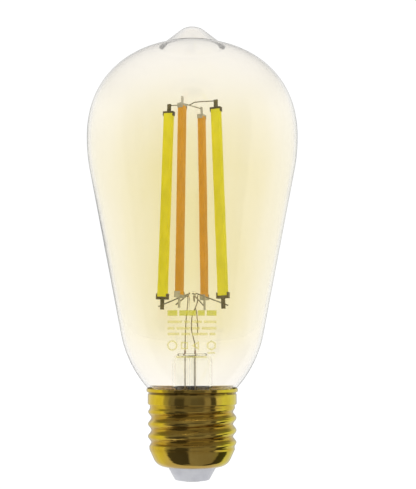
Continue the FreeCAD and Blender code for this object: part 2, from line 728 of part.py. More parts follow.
def base_insulator():
    """Cone below the shell, passed through its floor, with a flange inside."""
    cx, cz = shoulder()
    floor = SHELL_FLOOR_Z + SHEET + SEAT
    neck = SHELL_HOLE_R - SLIP
    body = lathe_points([
        (CONTACT_SHANK_R + SLIP, CONE_END_Z),
        (CONE_END_R, CONE_END_Z),
        (neck, SHELL_FLOOR_Z),
        (neck, floor),
        (cx - LINER_GAP, floor),
        (shell_inside(FLANGE_TOP_Z) - LINER_GAP * 2, FLANGE_TOP_Z),
        (CONTACT_SHANK_R + SLIP, FLANGE_TOP_Z),
    ])
    return rounded(body, CONE_EDGE_R, lambda e: is_circle_at(e, CONE_END_Z, CONE_END_R))


def centre_contact():
    """Nail-headed contact with its shank up through the insulator."""
    body = lathe_points([
        (0, 0),
        (CONTACT_R, 0),
        (CONTACT_R, CONE_END_Z),
        (CONTACT_SHANK_R, CONE_END_Z),
        (CONTACT_SHANK_R, CONTACT_TOP_Z),
        (0, CONTACT_TOP_Z),
    ])
    return rounded(body, CONTACT_EDGE_R, lambda e: is_circle_at(e, 0))


def cup_outline():
    """Outside radius and height of the driver cup, from its foot to its rim."""
    slope_z = shoulder()[1] - (BOTTOM_BEND_R - SHEET) * math.sin(math.radians(SHOULDER_SLOPE))
    root = THREAD_MINOR_R - SHEET
    full_z = slope_z
    while shell_inside(full_z) < root:
        full_z += 0.1
    heights = (FLANGE_TOP_Z, slope_z, full_z)
    return [(shell_inside(z) - LINER_GAP, z) for z in heights] + [(root - LINER_GAP, CUP_TOP_Z)]


def cup_inside_r():
    return THREAD_MINOR_R - SHEET - LINER_GAP - CUP_WALL


def driver_cup():
    """Insulating cup round the driver, with ribs for the board and a groove for the neutral wire."""
    outside = cup_outline()
    floor = FLANGE_TOP_Z + CUP_FLOOR
    inside = [(cup_inside_r(), CUP_TOP_Z), (cup_inside_r(), outside[2][1]), (outside[1][0] - CUP_WALL, floor)]
    body = lathe_points([(CUP_HOLE_R, FLANGE_TOP_Z)] + outside + inside + [(CUP_HOLE_R, floor)])
    mid_wall = [(radius - CUP_WALL / 2, z) for radius, z in outside]
    room = lathe_points([(0, FLANGE_TOP_Z)] + mid_wall + [(0, CUP_TOP_Z)])
    outer_r = outside[-1][0]
    for turn in range(4):
        reach = cup_inside_r() - RIB[0]
        foot = floor - CUP_FLOOR / 2
        rib = block((outer_r - reach, RIB[1], BOARD_Z - foot), ((outer_r + reach) / 2, 0), foot)
        rib.rotate(Vector(0, 0, 0), Vector(0, 0, 1), 90 * turn)
        body = body.fuse(rib.common(room))
    groove = block((CUP_SLOT_DEPTH * 2, CUP_SLOT, CUP_TOP_Z), (outer_r, 0), NEUTRAL_FOOT_Z - 0.5)
    notch = block((CUP_WALL * 4, CUP_SLOT, CUP_NOTCH + 1), (outer_r, 0), CUP_TOP_Z - CUP_NOTCH)
    for cutter in (groove, notch):
        cutter.rotate(Vector(0, 0, 0), Vector(0, 0, 1), NEUTRAL_ANGLE)
        body = body.cut(cutter)
    return clean(body.removeSplitter())


def neck_cement():
    """Ring of cement that holds the glass neck in the shell."""
    cx, cz = throat_centre()
    hollow_x = NECK_R + NECK_FILLET
    end = math.acos((hollow_x - cx) / (THROAT_R + NECK_FILLET))
    hollow_z = cz - (THROAT_R + NECK_FILLET) * math.sin(end)
    hollow = NECK_FILLET - SLIP
    low_r = THREAD_MINOR_R - SHEET - SLIP
    step_z = THREAD_HIGH_Z + SHEET + SLIP
    high_r = COLLAR_R - SHEET - SLIP
    low_z = NECK_Z + SLIP
    top_z = min(GROOVE_LOW_Z - GROOVE_RAMP - SLIP, hollow_z + hollow * math.sin(end) * 0.98)
    last = math.pi - math.asin((top_z - hollow_z) / hollow)
    top = (hollow_x + hollow * math.cos(last), top_z)
    return lathe([
        line((NECK_R + SLIP, low_z), (low_r, low_z)),
        line((low_r, low_z), (low_r, step_z)),
        line((low_r, step_z), (high_r, step_z)),
        line((high_r, step_z), (high_r, top[1])),
        line((high_r, top[1]), top),
        arc_about((hollow_x, hollow_z), hollow, math.degrees(last), 180),
        line((NECK_R + SLIP, hollow_z), (NECK_R + SLIP, low_z)),
    ])


# ---------------------------------------------------------------- mains wires
def live_wire():
    return rod((0, 0, CONTACT_TOP_Z), (0, 0, BOARD_Z), LIVE_WIRE_R)


def neutral_wire():
    """From the board up over the cup's rim and down between the cup and the shell."""
    fit_r = THREAD_MINOR_R - SHEET - SLIP - NEUTRAL_WIRE_R
    over_z = CUP_TOP_Z - CUP_NOTCH + NEUTRAL_WIRE_R + SLIP
    points = [
        polar(NEUTRAL_BOARD_R, NEUTRAL_ANGLE, BOARD_TOP_Z),
        polar(NEUTRAL_BOARD_R, NEUTRAL_ANGLE, over_z),
        polar(fit_r, NEUTRAL_ANGLE, over_z),
        polar(fit_r, NEUTRAL_ANGLE, NEUTRAL_FOOT_Z),
    ]
    return bent_wire(points, NEUTRAL_WIRE_R, NEUTRAL_BEND_R)


def solder_joint(x, y, z, wire_r, up):
    hole = wire_r + SLIP
    height = SOLDER_H * up
    body = lathe_points([(hole, 0), (SOLDER_R, 0), (hole + SOLDER_EDGE, height), (hole, height)])
    body.translate(Vector(x, y, z))
    return body


def solder_joints():
    foot = polar(NEUTRAL_BOARD_R, NEUTRAL_ANGLE)
    joints = [solder_joint(x, y, BOARD_TOP_Z, LEAD_R, 1) for x, y in LEADS.values()]
    joints.append(solder_joint(foot.x, foot.y, BOARD_TOP_Z, NEUTRAL_WIRE_R, 1))
    joints.append(solder_joint(0, 0, BOARD_Z, LIVE_WIRE_R, -1))
    return Part.makeCompound(joints)


# ---------------------------------------------------------------- driver
def driver_board():
    return Part.makeCylinder(cup_inside_r() - BOARD_GAP, BOARD_T, Vector(0, 0, BOARD_Z))


def hanging_height():
    """Height of the tall parts under the board."""
    return BOARD_Z - FLANGE_TOP_Z - CUP_FLOOR - PART_GAP


def can_capacitor(x, y, radius):
    """Upright can with a rolled groove near its seal."""
    height = hanging_height()
    low = BOARD_Z - height
    body = Part.makeCylinder(radius, height, Vector(x, y, low))
    middle = Vector(x, y, BOARD_Z - CAN_GROOVE_DROP)
    groove = Part.makeTorus(radius, CAN_GROOVE_R, middle, Vector(0, 0, 1))
    body = clean(body.cut(groove))
    return rounded(body, CAN_EDGE_R, lambda e: is_circle_at(e, low, radius))


def bulk_capacitor():
    return can_capacitor(*BULK_CAN)


def smoothing_capacitor():
    return can_capacitor(*SMOOTHING_CAN)


def choke_core():
    """Ferrite drum with a flange at each end."""
    low, high = BOARD_Z - hanging_height(), BOARD_Z
    body = lathe_points([
        (0, low),
        (CHOKE_R, low),
        (CHOKE_R, low + CHOKE_FLANGE),
        (CHOKE_POST_R, low + CHOKE_FLANGE),
        (CHOKE_POST_R, high - CHOKE_FLANGE),
        (CHOKE_R, high - CHOKE_FLANGE),
        (CHOKE_R, high),
        (0, high),
    ])
    body.translate(Vector(CHOKE[0], CHOKE[1], 0))
    return body


def choke_winding():
    """Copper winding as one ring, ribbed like its layers of wire."""
    low = BOARD_Z - hanging_height() + CHOKE_FLANGE + SEAT
    high = BOARD_Z - CHOKE_FLANGE - SEAT
    pitch = (high - low) / CHOKE_TURNS
    outer = CHOKE_R - CHOKE_SUNK
    points = [(CHOKE_POST_R + SLIP, low), (outer - pitch / 2, low)]
    for turn in range(CHOKE_TURNS):
        points.append((outer, low + pitch * (turn + 0.5)))
        points.append((outer - pitch / 2, low + pitch * (turn + 1)))
    points.append((CHOKE_POST_R + SLIP, high))
    body = lathe_points(points)
    body.translate(Vector(CHOKE[0], CHOKE[1], 0))
    return body


def fuse_resistor():
    """Axial resistor with its two leads bent up to the board."""
    middle, y = FUSE
    z = BOARD_Z - FUSE_DROP
    body = rod((middle - FUSE_HALF, y, z), (middle + FUSE_HALF, y, z), FUSE_R)
    body = rounded(body, FUSE_R / 4, lambda e: True)
    for side in (-1, 1):
        start = middle + side * FUSE_HALF * 0.8
        end = middle + side * (FUSE_HALF + FUSE_R)
        points = [(start, y, z), (end, y, z), (end, y, BOARD_Z)]
        body = body.fuse(bent_wire(points, FUSE_LEAD_R, FUSE_LEAD_R * 2))
    return clean(body.removeSplitter())


def legged_chip(size, centre, legs, pitch, z, up=1):
    """Moulded package with a row of bent legs on its two long sides."""
    width, length, height = size
    leg_w = pitch * 0.35
    half = LEG_REACH / 2
    body = block((width, length, height), (0, 0), LEG_T)
    body = rounded(body, LEG_T * 0.8, lambda e: abs(e.tangentAt(e.FirstParameter).z) > 0.99)
    for side, count in ((-1, legs[0]), (1, legs[1])):
        knee = side * (width / 2 + half)
        for leg in range(count):
            y = (leg - (count - 1) / 2) * pitch
            root = block((half + 0.1, leg_w, LEG_T), (knee - side * half / 2, y), height / 2)
            drop = block((LEG_T, leg_w, height / 2 + LEG_T), (knee, y), 0)
            foot = block((half, leg_w, LEG_T), (knee + side * half / 2, y), 0)
            body = body.fuse([root, drop, foot])
    body = clean(body.removeSplitter())
    if up < 0:
        body.rotate(Vector(0, 0, 0), Vector(1, 0, 0), 180)
    body.translate(Vector(centre[0], centre[1], z))
    return body


def bridge_rectifier():
    return legged_chip(*RECTIFIER, BOARD_Z, -1)


def driver_chip():
    return legged_chip(*DRIVER_CHIP, BOARD_TOP_Z)


def dimming_transistors():
    size, legs, pitch = TRANSISTOR
    pair = [legged_chip(size, place, legs, pitch, BOARD_TOP_Z) for place in TRANSISTOR_PLACES]
    return Part.makeCompound(pair)


def small_parts(size, places):
    parts = []
    for place in places:
        parts.append(block(size, place, BOARD_TOP_Z))
    return Part.makeCompound(parts)


def chip_resistors():
    places = [(-3.6 + 1.9 * column, 5.4 + 1.7 * row) for row in range(2) for column in range(3)]
    return small_parts(CHIP_RESISTOR, places)


def chip_capacitors():
    places = [(-3.2 + 2.1 * column, -3.9) for column in range(3)] + [(-2.2, 3.2)]
    return small_parts(CHIP_CAPACITOR, places)


def board_pins():
    """Header pins that carry the radio board."""
    pins = []
    for side in (-1, 1):
        x = RADIO_X + side * (RADIO_SIZE[0] / 2 - PIN_W * 1.25)
        for count in range(PINS_A_SIDE):
            y = (count - (PINS_A_SIDE - 1) / 2) * PIN_PITCH
            pins.append(block((PIN_W, PIN_W, RADIO_Z - BOARD_TOP_Z), (x, y), BOARD_TOP_Z))
    return Part.makeCompound(pins)


def radio_board():
    return block((RADIO_SIZE[0], RADIO_SIZE[1], RADIO_T), (RADIO_X, 0), RADIO_Z)


def radio_can():
    """Folded shield, open underneath."""
    foot = RADIO_Z + RADIO_T
    body = block(CAN_SIZE, (RADIO_X, CAN_Y), foot)
    body = rounded(body, CAN_WALL, lambda e: e.BoundBox.ZMin > foot + CAN_SIZE[2] - 0.01)
    width, length, height = CAN_SIZE
    hollow = (width - 2 * CAN_WALL, length - 2 * CAN_WALL, height - CAN_WALL)
    return clean(body.cut(block(hollow, (RADIO_X, CAN_Y), foot)))


def radio_chip():
    return block(RADIO_CHIP, (RADIO_X, CAN_Y), RADIO_Z + RADIO_T)


def radio_antenna():
    """Meandering copper trace at the end of the radio board."""
    top = RADIO_Z + RADIO_T
    width, thick = ANTENNA_TRACE
    pitch = ANTENNA_PITCH
    long = RADIO_SIZE[0] - 1.2
    start = CAN_Y + CAN_SIZE[1] / 2 + 0.6
    foot = (RADIO_X - long / 2 + width / 2, start - 0.1)
    trace = block((width, pitch, thick), foot, top)
    for rung in range(ANTENNA_RUNGS):
        y = start + rung * pitch
        trace = trace.fuse(block((long, width, thick), (RADIO_X, y), top))
        if rung < ANTENNA_RUNGS - 1:
            side = 1 if rung % 2 == 0 else -1
            corner = RADIO_X + side * (long / 2 - width / 2)
            riser = block((width, pitch + width, thick), (corner, y + pitch / 2), top)
            trace = trace.fuse(riser)
    return clean(trace.removeSplitter())


# ---------------------------------------------------------------- the whole bulb
def sub_parts():
    parts = {
        "glass_envelope": glass_envelope,
        "stem_flare": stem_flare,
        "exhaust_tube": exhaust_tube,
        "stem_rod": stem_rod,
        "lead_seals": lead_seals,
        "common_link": common_link,
        "top_link_cool": top_link_cool,
        "top_link_warm": top_link_warm,
        "screw_shell": screw_shell,
        "base_insulator": base_insulator,
        "centre_contact": centre_contact,
        "driver_cup": driver_cup,
        "neck_cement": neck_cement,
        "live_wire": live_wire,
        "neutral_wire": neutral_wire,
        "solder_joints": solder_joints,
        "driver_board": driver_board,
        "bulk_capacitor": bulk_capacitor,
        "smoothing_capacitor": smoothing_capacitor,
        "choke_core": choke_core,
        "choke_winding": choke_winding,
        "fuse_resistor": fuse_resistor,
        "bridge_rectifier": bridge_rectifier,
        "driver_chip": driver_chip,
        "dimming_transistors": dimming_transistors,
        "chip_resistors": chip_resistors,
        "chip_capacitors": chip_capacitors,
        "board_pins": board_pins,
        "radio_board": radio_board,
        "radio_can": radio_can,
        "radio_chip": radio_chip,
        "radio_antenna": radio_antenna,
    }
    shapes = {name: make() for name, make in parts.items()}
    for channel in LEADS:
        shapes["lead_" + channel] = lead(channel)
    for name in FILAMENTS:
        shapes["arm_" + name] = support_arm(name)
        shapes[name + "_strip"] = filament_strip(name)
        shapes[name + "_chips"] = filament_chips(name)
        shapes[name + "_phosphor"] = filament_phosphor(name)
        shapes[name + "_top_clip"] = top_clip(name)
        shapes[name + "_bottom_clip"] = bottom_clip(name)
    return shapes


os.makedirs("parts", exist_ok=True)
for node, shape in sub_parts().items():
    shape.exportStep("parts/" + node + ".step")
    state = "valid" if shape.isValid() else "INVALID"
    print(node, len(shape.Solids), "solids", round(shape.Volume, 2), "mm3", state)
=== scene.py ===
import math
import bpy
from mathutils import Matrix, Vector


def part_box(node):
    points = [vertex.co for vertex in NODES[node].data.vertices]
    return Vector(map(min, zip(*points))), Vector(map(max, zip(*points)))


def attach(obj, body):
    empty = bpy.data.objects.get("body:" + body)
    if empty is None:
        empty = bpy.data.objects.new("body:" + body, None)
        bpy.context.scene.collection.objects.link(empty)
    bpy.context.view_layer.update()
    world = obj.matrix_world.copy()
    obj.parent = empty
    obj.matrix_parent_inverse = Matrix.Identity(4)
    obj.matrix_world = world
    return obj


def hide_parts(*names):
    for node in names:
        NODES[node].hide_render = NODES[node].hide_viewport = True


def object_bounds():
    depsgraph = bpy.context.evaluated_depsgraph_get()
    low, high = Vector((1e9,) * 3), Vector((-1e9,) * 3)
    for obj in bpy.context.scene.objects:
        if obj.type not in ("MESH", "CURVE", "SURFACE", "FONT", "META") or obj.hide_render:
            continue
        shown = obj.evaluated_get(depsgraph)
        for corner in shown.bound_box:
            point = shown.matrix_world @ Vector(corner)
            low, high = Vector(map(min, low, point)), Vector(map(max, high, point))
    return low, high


bl_info = {
    "name": "Filament Smart Bulb",
    "version": (1, 0, 0),
    "blender": (4, 5, 0),
    "location": "3D View > Sidebar > Bulb",
    "description": "Builds and finishes the glass, cap, filaments and print of a screw-base smart bulb",
    "category": "Object",
}

import bmesh
import bpy
from bpy.props import FloatProperty, FloatVectorProperty, IntProperty, PointerProperty
from mathutils import Matrix, Vector
from mathutils.bvhtree import BVHTree

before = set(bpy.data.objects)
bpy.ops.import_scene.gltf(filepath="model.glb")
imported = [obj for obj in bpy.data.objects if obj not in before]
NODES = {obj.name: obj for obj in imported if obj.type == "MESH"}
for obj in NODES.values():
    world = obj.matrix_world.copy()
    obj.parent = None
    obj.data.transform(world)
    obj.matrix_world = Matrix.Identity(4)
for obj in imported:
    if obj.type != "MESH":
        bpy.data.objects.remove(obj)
CAD_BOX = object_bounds()
GLASS_LOW, GLASS_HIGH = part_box("glass_envelope")
SHELL_LOW, SHELL_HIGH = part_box("screw_shell")
HEIGHT = GLASS_HIGH.z
MM = 0.001
SAME_POINT = 0.002 * MM
FILAMENTS = ("cool_right", "warm_right", "cool_left", "warm_left")


def linear(red, green, blue):
    """Scene-linear colour of a display colour given in 0 to 255."""
    steps = []
    for part in (red, green, blue):
        part /= 255
        steps.append(part / 12.92 if part <= 0.04045 else ((part + 0.055) / 1.055) ** 2.4)
    return tuple(steps)


def size_field(name, description, millimetres, low=0.0):
    return FloatProperty(
        name=name, description=description, default=millimetres * MM, min=low, unit="LENGTH", precision=5
    )


def angle_field(name, description, degrees):
    return FloatProperty(name=name, description=description, default=math.radians(degrees), subtype="ANGLE")


def colour_field(name, description, rgb):
    return FloatVectorProperty(
        name=name, description=description, default=linear(*rgb), size=3, min=0.0, max=1.0, subtype="COLOR"
    )


def share_field(name, description, value):
    return FloatProperty(
        name=name, description=description, default=value, min=0.0, max=1.0, subtype="FACTOR"
    )


# ---------------------------------------------------------------- settings
class BULB_PG_glass(bpy.types.PropertyGroup):
    belly_radius: size_field("Belly radius", "Largest radius of the glass", 32.0)
    belly_height: size_field("Belly height", "Height of the largest circle", 102.85)
    belly_arc: size_field("Belly arc", "Radius of the arc just under the largest circle", 53.4)
    dome_rise: size_field("Dome rise", "Height of the dome over the largest circle", 29.14)
    dome_power: FloatProperty(
        name="Dome power", description="Exponent of the dome's superellipse", default=2.207, min=1.5, max=4.0
    )
    throat_arc: size_field("Throat arc", "Radius of the arc that closes in to the cap", 34.0)
    throat_slope: angle_field("Throat slope", "Slope from vertical where the glass enters the cap", 42.0)
    mouth_radius: size_field("Mouth radius", "Glass radius at the top of the cap", 13.2)
    neck_radius: size_field("Neck radius", "Radius of the neck sealed to the stem", 10.7)
    neck_fillet: size_field("Neck fillet", "Hollow curve from the throat to the neck", 5.0)
    wall: size_field("Wall", "Thickness of the glass", 0.95)
    tip_crown: size_field("Tip crown", "Radius of the tip's rounded top", 6.4)
    tip_slope: angle_field("Tip slope", "Slope from horizontal of the tip's side", 39.8)
    tip_fillet: size_field("Tip fillet", "Width of the curve between the tip and the dome", 0.42)
    crown_wall: size_field("Crown wall", "Thickness of the glass at the crown", 0.45)
    tip_wall: size_field("Tip wall", "Thickness of the glass at the tip", 1.3)
    tip_ridge: size_field("Tip ridge", "Width of the rounding where the tip's hollow begins", 0.12)
    steps: IntProperty(name="Steps", description="Faces round the glass", default=160, min=32, max=256)
    # the film colour reaches full strength beside the filaments, where it is partly painted reflection of
    # their yellow
    film: colour_field("Film", "Amber film at full strength", (246, 239, 205))
    clear: colour_field("Clear", "Glass with hardly any film", (255, 253, 250))
    grey: FloatProperty(
        name="Grey", description="How strongly the wall darkens through its thickness", default=31.0, min=0.0
    )


class BULB_PG_print(bpy.types.PropertyGroup):
    heading_ink: colour_field("Heading ink", "Colour of the heading bars", (190, 184, 40))
    line_ink: colour_field("Line ink", "Colour of the small lines and signs", (206, 194, 84))
    heading_cover: share_field("Heading cover", "Opacity of the heading bars", 0.62)
    line_cover: share_field("Line cover", "Opacity of the small lines", 0.34)
    left: size_field("Left", "Left edge of the printed block", -6.9, -0.1)
    right: size_field("Right", "Right edge of the printed block", 6.8)
    thickness: size_field("Ink thickness", "Height of the ink on the glass", 0.03)


class BULB_PG_filaments(bpy.types.PropertyGroup):
    cool_coat: colour_field("Cool coat", "Coat of the cool-white filaments", (222, 215, 0))
    warm_coat: colour_field("Warm coat", "Coat of the warm-white filaments", (208, 148, 8))
    bead: size_field("Bead", "How far the coat swells over each chip", 0.03)
    # painted glow of the filament coats
    painted_glow: share_field("Glow", "Light the coats seem to give back", 0.34)
    chips: IntProperty(name="Chips", description="Chips along a filament", default=28, min=1)
    edge: size_field("Edge", "Rounding along the coat's edges", 0.34)
    cool_clip: colour_field("Cool clip", "Metal of the clips on the cool filaments", (112, 102, 62))
    warm_clip: colour_field("Warm clip", "Metal of the clips on the warm filaments", (196, 192, 178))


class BULB_PG_cap(bpy.types.PropertyGroup):
    brass: colour_field("Brass", "Bright plated brass", (213, 184, 36))
    # painted reflection: the greener tone on the +X side stands for what that side of the shell reflects
    side_reflection_brass: colour_field("Green brass", "Plating on the greener side", (208, 192, 56))
    # painted reflection: the duller plating at the front and the back stands for the dark room that the brass
    # reflects there
    painted_reflection_brass: colour_field("Aged brass", "Plating dulled by handling, front and back", (190, 160, 82))
    tarnish: colour_field("Tarnish", "Brass in the thread's roots", (166, 124, 34))
    # painted shade: the dark colour in the groove under the lip stands for the shade that falls there
    groove_shade: colour_field("Dirt", "Darkening in the groove under the lip", (84, 60, 20))
    roughness: share_field("Roughness", "Polish of the plating", 0.09)
    pitch: size_field("Pitch", "Height of one turn of the thread", 3.629)
    major: size_field("Major radius", "Radius over the thread's crests", 13.15)
    minor: size_field("Minor radius", "Radius at the thread's roots", 12.15)
    phase: size_field("Crest height", "Height of a crest on the +X side", 18.49)
    thread_low: size_field("Thread foot", "Bottom of the rolled thread", 9.2)
    thread_high: size_field("Thread top", "Top of the rolled thread", 22.4)
    fade: size_field("Run-out", "Length over which the thread runs in and out", 2.4)
    collar: size_field("Collar radius", "Radius of the plain collar", 13.25)
    lip: size_field("Lip radius", "Radius of the rolled lip", 13.62)
    sheet: size_field("Sheet", "Thickness of the sheet", 0.32)
    bottom_bend: size_field("Bottom bend", "Radius of the bend under the shoulder", 3.6)
    shoulder: angle_field("Shoulder slope", "Slope from vertical below the thread", 25.0)
    hole: size_field("Floor hole", "Radius of the hole for the insulator", 7.35)
    steps: IntProperty(name="Steps", description="Faces round the shell", default=192, min=48, max=256)


class BULB_PG_studio(bpy.types.PropertyGroup):
    distance: size_field("Distance", "From the lens to the bulb's axis", 320)
    height: size_field("Height", "Height of the lens", 39.4)
    rise: angle_field("Rise", "Angle of the lens above level", 5.5)
    lens: FloatProperty(name="Lens", description="Focal length", default=78.33, unit="CAMERA")
    shift: FloatProperty(
        name="Shift",
        description="Sideways shift of the frame, as a share of its width",
        default=0.0323,
        min=-0.1,
        max=0.1,
        subtype="FACTOR",
    )
    floor: colour_field("Floor", "Pale floor", (252, 252, 252))


# ---------------------------------------------------------------- shading
class Value:
    """A shader socket that takes part in Python arithmetic."""

    def __init__(self, shading, socket):
        self.shading = shading
        self.socket = socket

    def __add__(self, other):
        return self.shading.math("ADD", self, other)

    def __radd__(self, other):
        return self.shading.math("ADD", other, self)

    def __sub__(self, other):
        return self.shading.math("SUBTRACT", self, other)

    def __rsub__(self, other):
        return self.shading.math("SUBTRACT", other, self)

    def __mul__(self, other):
        return self.shading.math("MULTIPLY", self, other)

    def __rmul__(self, other):
        return self.shading.math("MULTIPLY", other, self)

    def __truediv__(self, other):
        return self.shading.math("DIVIDE", self, other)

    def __pow__(self, other):
        return self.shading.math("POWER", self, other)


class Shading:
    """Adds nodes to one shader tree."""

    def __init__(self, tree):
        self.tree = tree
        tree.nodes.clear()

    def node(self, kind, settings=None, sockets=None, output=0):
        """One node: its settings first, then the values or links of its sockets."""
        made = self.tree.nodes.new(kind)
        for name, value in (settings or {}).items():
            if name == "stops":
                while len(made.color_ramp.elements) < len(value):
                    made.color_ramp.elements.new(1.0)
                for stop, (place, colour) in zip(made.color_ramp.elements, value):
                    stop.position = place
                    stop.color = (*colour, 1.0)
            else:
                setattr(made, name, value)
        for name, value in (sockets or {}).items():
            if isinstance(value, Value):
                self.tree.links.new(value.socket, made.inputs[name])
            else:
                made.inputs[name].default_value = value
        return Value(self, made.outputs[output])

    def math(self, operation, first, second=0.0):
        return self.node("ShaderNodeMath", {"operation": operation}, {0: first, 1: second})

    def place(self):
        return self.node("ShaderNodeTexCoord", output="Object")

    def axis(self, vector, letter):
        return self.node("ShaderNodeSeparateXYZ", None, {"Vector": vector}, letter)

    def stretched(self, scale):
        return self.node("ShaderNodeMapping", None, {"Vector": self.place(), "Scale": scale})

    def noise(self, size, detail=3.0, roughness=0.5, stretch=(1, 1, 1)):
        """Mottling with features of about a size in metres, longer where the stretch is below 1."""
        sockets = {"Scale": 1 / size, "Detail": detail, "Roughness": roughness}
        sockets["Vector"] = self.stretched(stretch)
        return self.node("ShaderNodeTexNoise", None, sockets, "Fac")

    def levels(self, value, stops):
        """Straight runs between (place, level) pairs."""
        stops = [(place, (level,) * 3) for place, level in stops]
        return self.axis(self.node("ShaderNodeValToRGB", {"stops": stops}, {"Fac": value}, "Color"), "X")

    def step(self, value, low, high, start=0.0, end=1.0):
        """Smooth rise from start to end as a value goes from low to high."""
        settings = {"interpolation_type": "SMOOTHSTEP"}
        sockets = {"Value": value, "From Min": low, "From Max": high, "To Min": start, "To Max": end}
        return self.node("ShaderNodeMapRange", settings, sockets)

    def blend(self, share, first, second):
        """Colour between two colours."""
        sockets = {0: share}
        for slot, colour in ((6, first), (7, second)):
            sockets[slot] = colour if isinstance(colour, Value) else (*colour, 1.0)
        return self.node("ShaderNodeMix", {"data_type": "RGBA"}, sockets, 2)

    def bump(self, height, strength, distance):
        sockets = {"Height": height, "Strength": strength, "Distance": distance}
        return self.node("ShaderNodeBump", None, sockets)


def finish(name, recipe):
    """A material from a recipe that returns the sockets of its surface, or (surface sockets, volume)."""
    material = bpy.data.materials.new(name)
    material.use_nodes = True
    shading = Shading(material.node_tree)
    made = recipe(shading)
    sockets, volume = made if isinstance(made, tuple) else (made, None)
    surface = shading.node("ShaderNodeBsdfPrincipled", None, sockets)
    ends = {"Surface": surface}
    if volume is not None:
        ends["Volume"] = volume
    output = shading.tree.nodes.new("ShaderNodeOutputMaterial")
    for end, value in ends.items():
        shading.tree.links.new(value.socket, output.inputs[end])
    return material


def metal(name, bright, dull, roughness, grain, stretch=(1, 1, 1)):
    """Bare or plated metal with a drawn grain and a few duller patches."""

    def recipe(s):
        lines = s.noise(grain, 4.0, 0.6, stretch)
        patches = s.noise(grain * 9, 2.0)
        return {
            "Base Color": s.blend(s.step(patches, 0.4, 0.65), bright, dull),
            "Metallic": 1.0,
            "Roughness": roughness + (lines - 0.5) * 0.16 + (patches - 0.5) * 0.1,
            "Normal": s.bump(lines, 0.15, grain * 0.1),
        }

    return finish(name, recipe)


def moulded(name, colour, shade, roughness, grain, bump=0.2, coat=0.0, painted_glow=0.0):
    """Plastic, resin or ceramic with a fine skin, faint mottling and, with a painted glow, emission of its
    own mottled colour that brightens it as if more light reached it.
    """

    def recipe(s):
        skin = s.noise(grain, 3.0, 0.6)
        cloud = s.noise(grain * 14, 2.0)
        mottled = s.blend(s.step(cloud, 0.35, 0.7), colour, shade)
        return {
            "Base Color": mottled,
            "Roughness": roughness + (skin - 0.5) * 0.15,
            "Coat Weight": coat,
            # painted glow: emission that stands in for light falling on the part
            "Emission Color": mottled,
            "Emission Strength": painted_glow,
            "Normal": s.bump(skin, bump, grain * 0.15),
        }

    return finish(name, recipe)


def amber_glass(glass):
    """Blown glass with a thin amber film, strongest beside the filaments and faint towards its rim; the extra
    strength beside the filaments and where the glass faces the view is painted reflection of the filaments'
    yellow.
    """
    # film strength by height and by facing: part real amber film, part painted reflection of the filaments'
    # yellow
    film_and_reflection_by_height = (
        (0.2, 0.12), (0.26, 0.35), (0.33, 0.8), (0.45, 1.0),
        (0.65, 1.0), (0.72, 0.84), (0.84, 0.4), (0.92, 0.08),
    )
    film_and_reflection_by_facing = (
        (0.0, 1.0), (0.06, 0.86), (0.12, 0.76), (0.19, 0.69), (0.29, 0.56), (0.43, 0.27), (0.65, 0.14),
    )
    smoke = (0.55, 0.52, 0.48, 1.0)

    def recipe(s):
        rise = s.levels(s.axis(s.place(), "Z") / HEIGHT, film_and_reflection_by_height)
        facing = s.node("ShaderNodeLayerWeight", None, {"Blend": 0.5}, "Facing")
        rim = s.levels(facing, film_and_reflection_by_facing)
        uneven = s.noise(11 * MM, 2.0, 0.5, (1, 1, 0.35))
        ripple = s.noise(16 * MM, 1.0, 0.4, (1, 1, 0.5))
        # painted reflection: the film deepens beside the filaments and where the glass faces the view
        strength = rise * rim * s.step(uneven, 0.3, 0.7, 1.08, 0.9)
        sockets = {
            "Base Color": s.blend(strength, tuple(glass.clear), tuple(glass.film)),
            "Roughness": 0.0,
            "IOR": 1.46,
            "Transmission Weight": 1.0,
            "Normal": s.bump(ripple, 0.12, 0.25 * MM),
        }
        absorb = s.node("ShaderNodeVolumeAbsorption", None, {"Color": smoke, "Density": glass.grey})
        return sockets, absorb

    return finish("amber_glass", recipe)


def stem_glass():
    """Clear tubing with faint drawn streaks along its length."""

    def recipe(s):
        streaks = s.noise(0.7 * MM, 2.0, 0.5, (1, 1, 0.05))
        return {
            "Base Color": s.blend(streaks, (0.97, 0.97, 0.94), (1.0, 1.0, 0.99)),
            "Roughness": 0.0,
            "IOR": 1.22,
            "Transmission Weight": 1.0,
            "Normal": s.bump(streaks, 0.1, 0.05 * MM),
        }

    return finish("stem_glass", recipe)


def filament_coat(name, colour, painted_glow):
    """Silicone filled with phosphor powder: grainy, slightly waxy, paler in patches and bands."""

    def recipe(s):
        powder = s.noise(0.16 * MM, 4.0, 0.65)
        band = s.noise(2.2 * MM, 2.0, 0.5, (1, 1, 0.4))
        pale = tuple(min(1.0, part * 1.12 + 0.01) for part in colour)
        deep = tuple(part * 0.86 for part in colour)
        return {
            "Base Color": s.blend(s.step(powder * 0.6 + band * 0.4, 0.36, 0.64), deep, pale),
            "Roughness": 0.5 + (powder - 0.5) * 0.2,
            "Specular IOR Level": 0.15,
            "Subsurface Weight": 0.12,
            "Subsurface Radius": (0.4 * MM, 0.3 * MM, 0.1 * MM),
            # painted glow: emission of the coat's own colour that brightens it beyond what the lamps give
            "Emission Color": s.blend(powder, colour, pale),
            "Emission Strength": painted_glow,
            "Normal": s.bump(powder, 0.3, 0.03 * MM),
        }

    return finish(name, recipe)


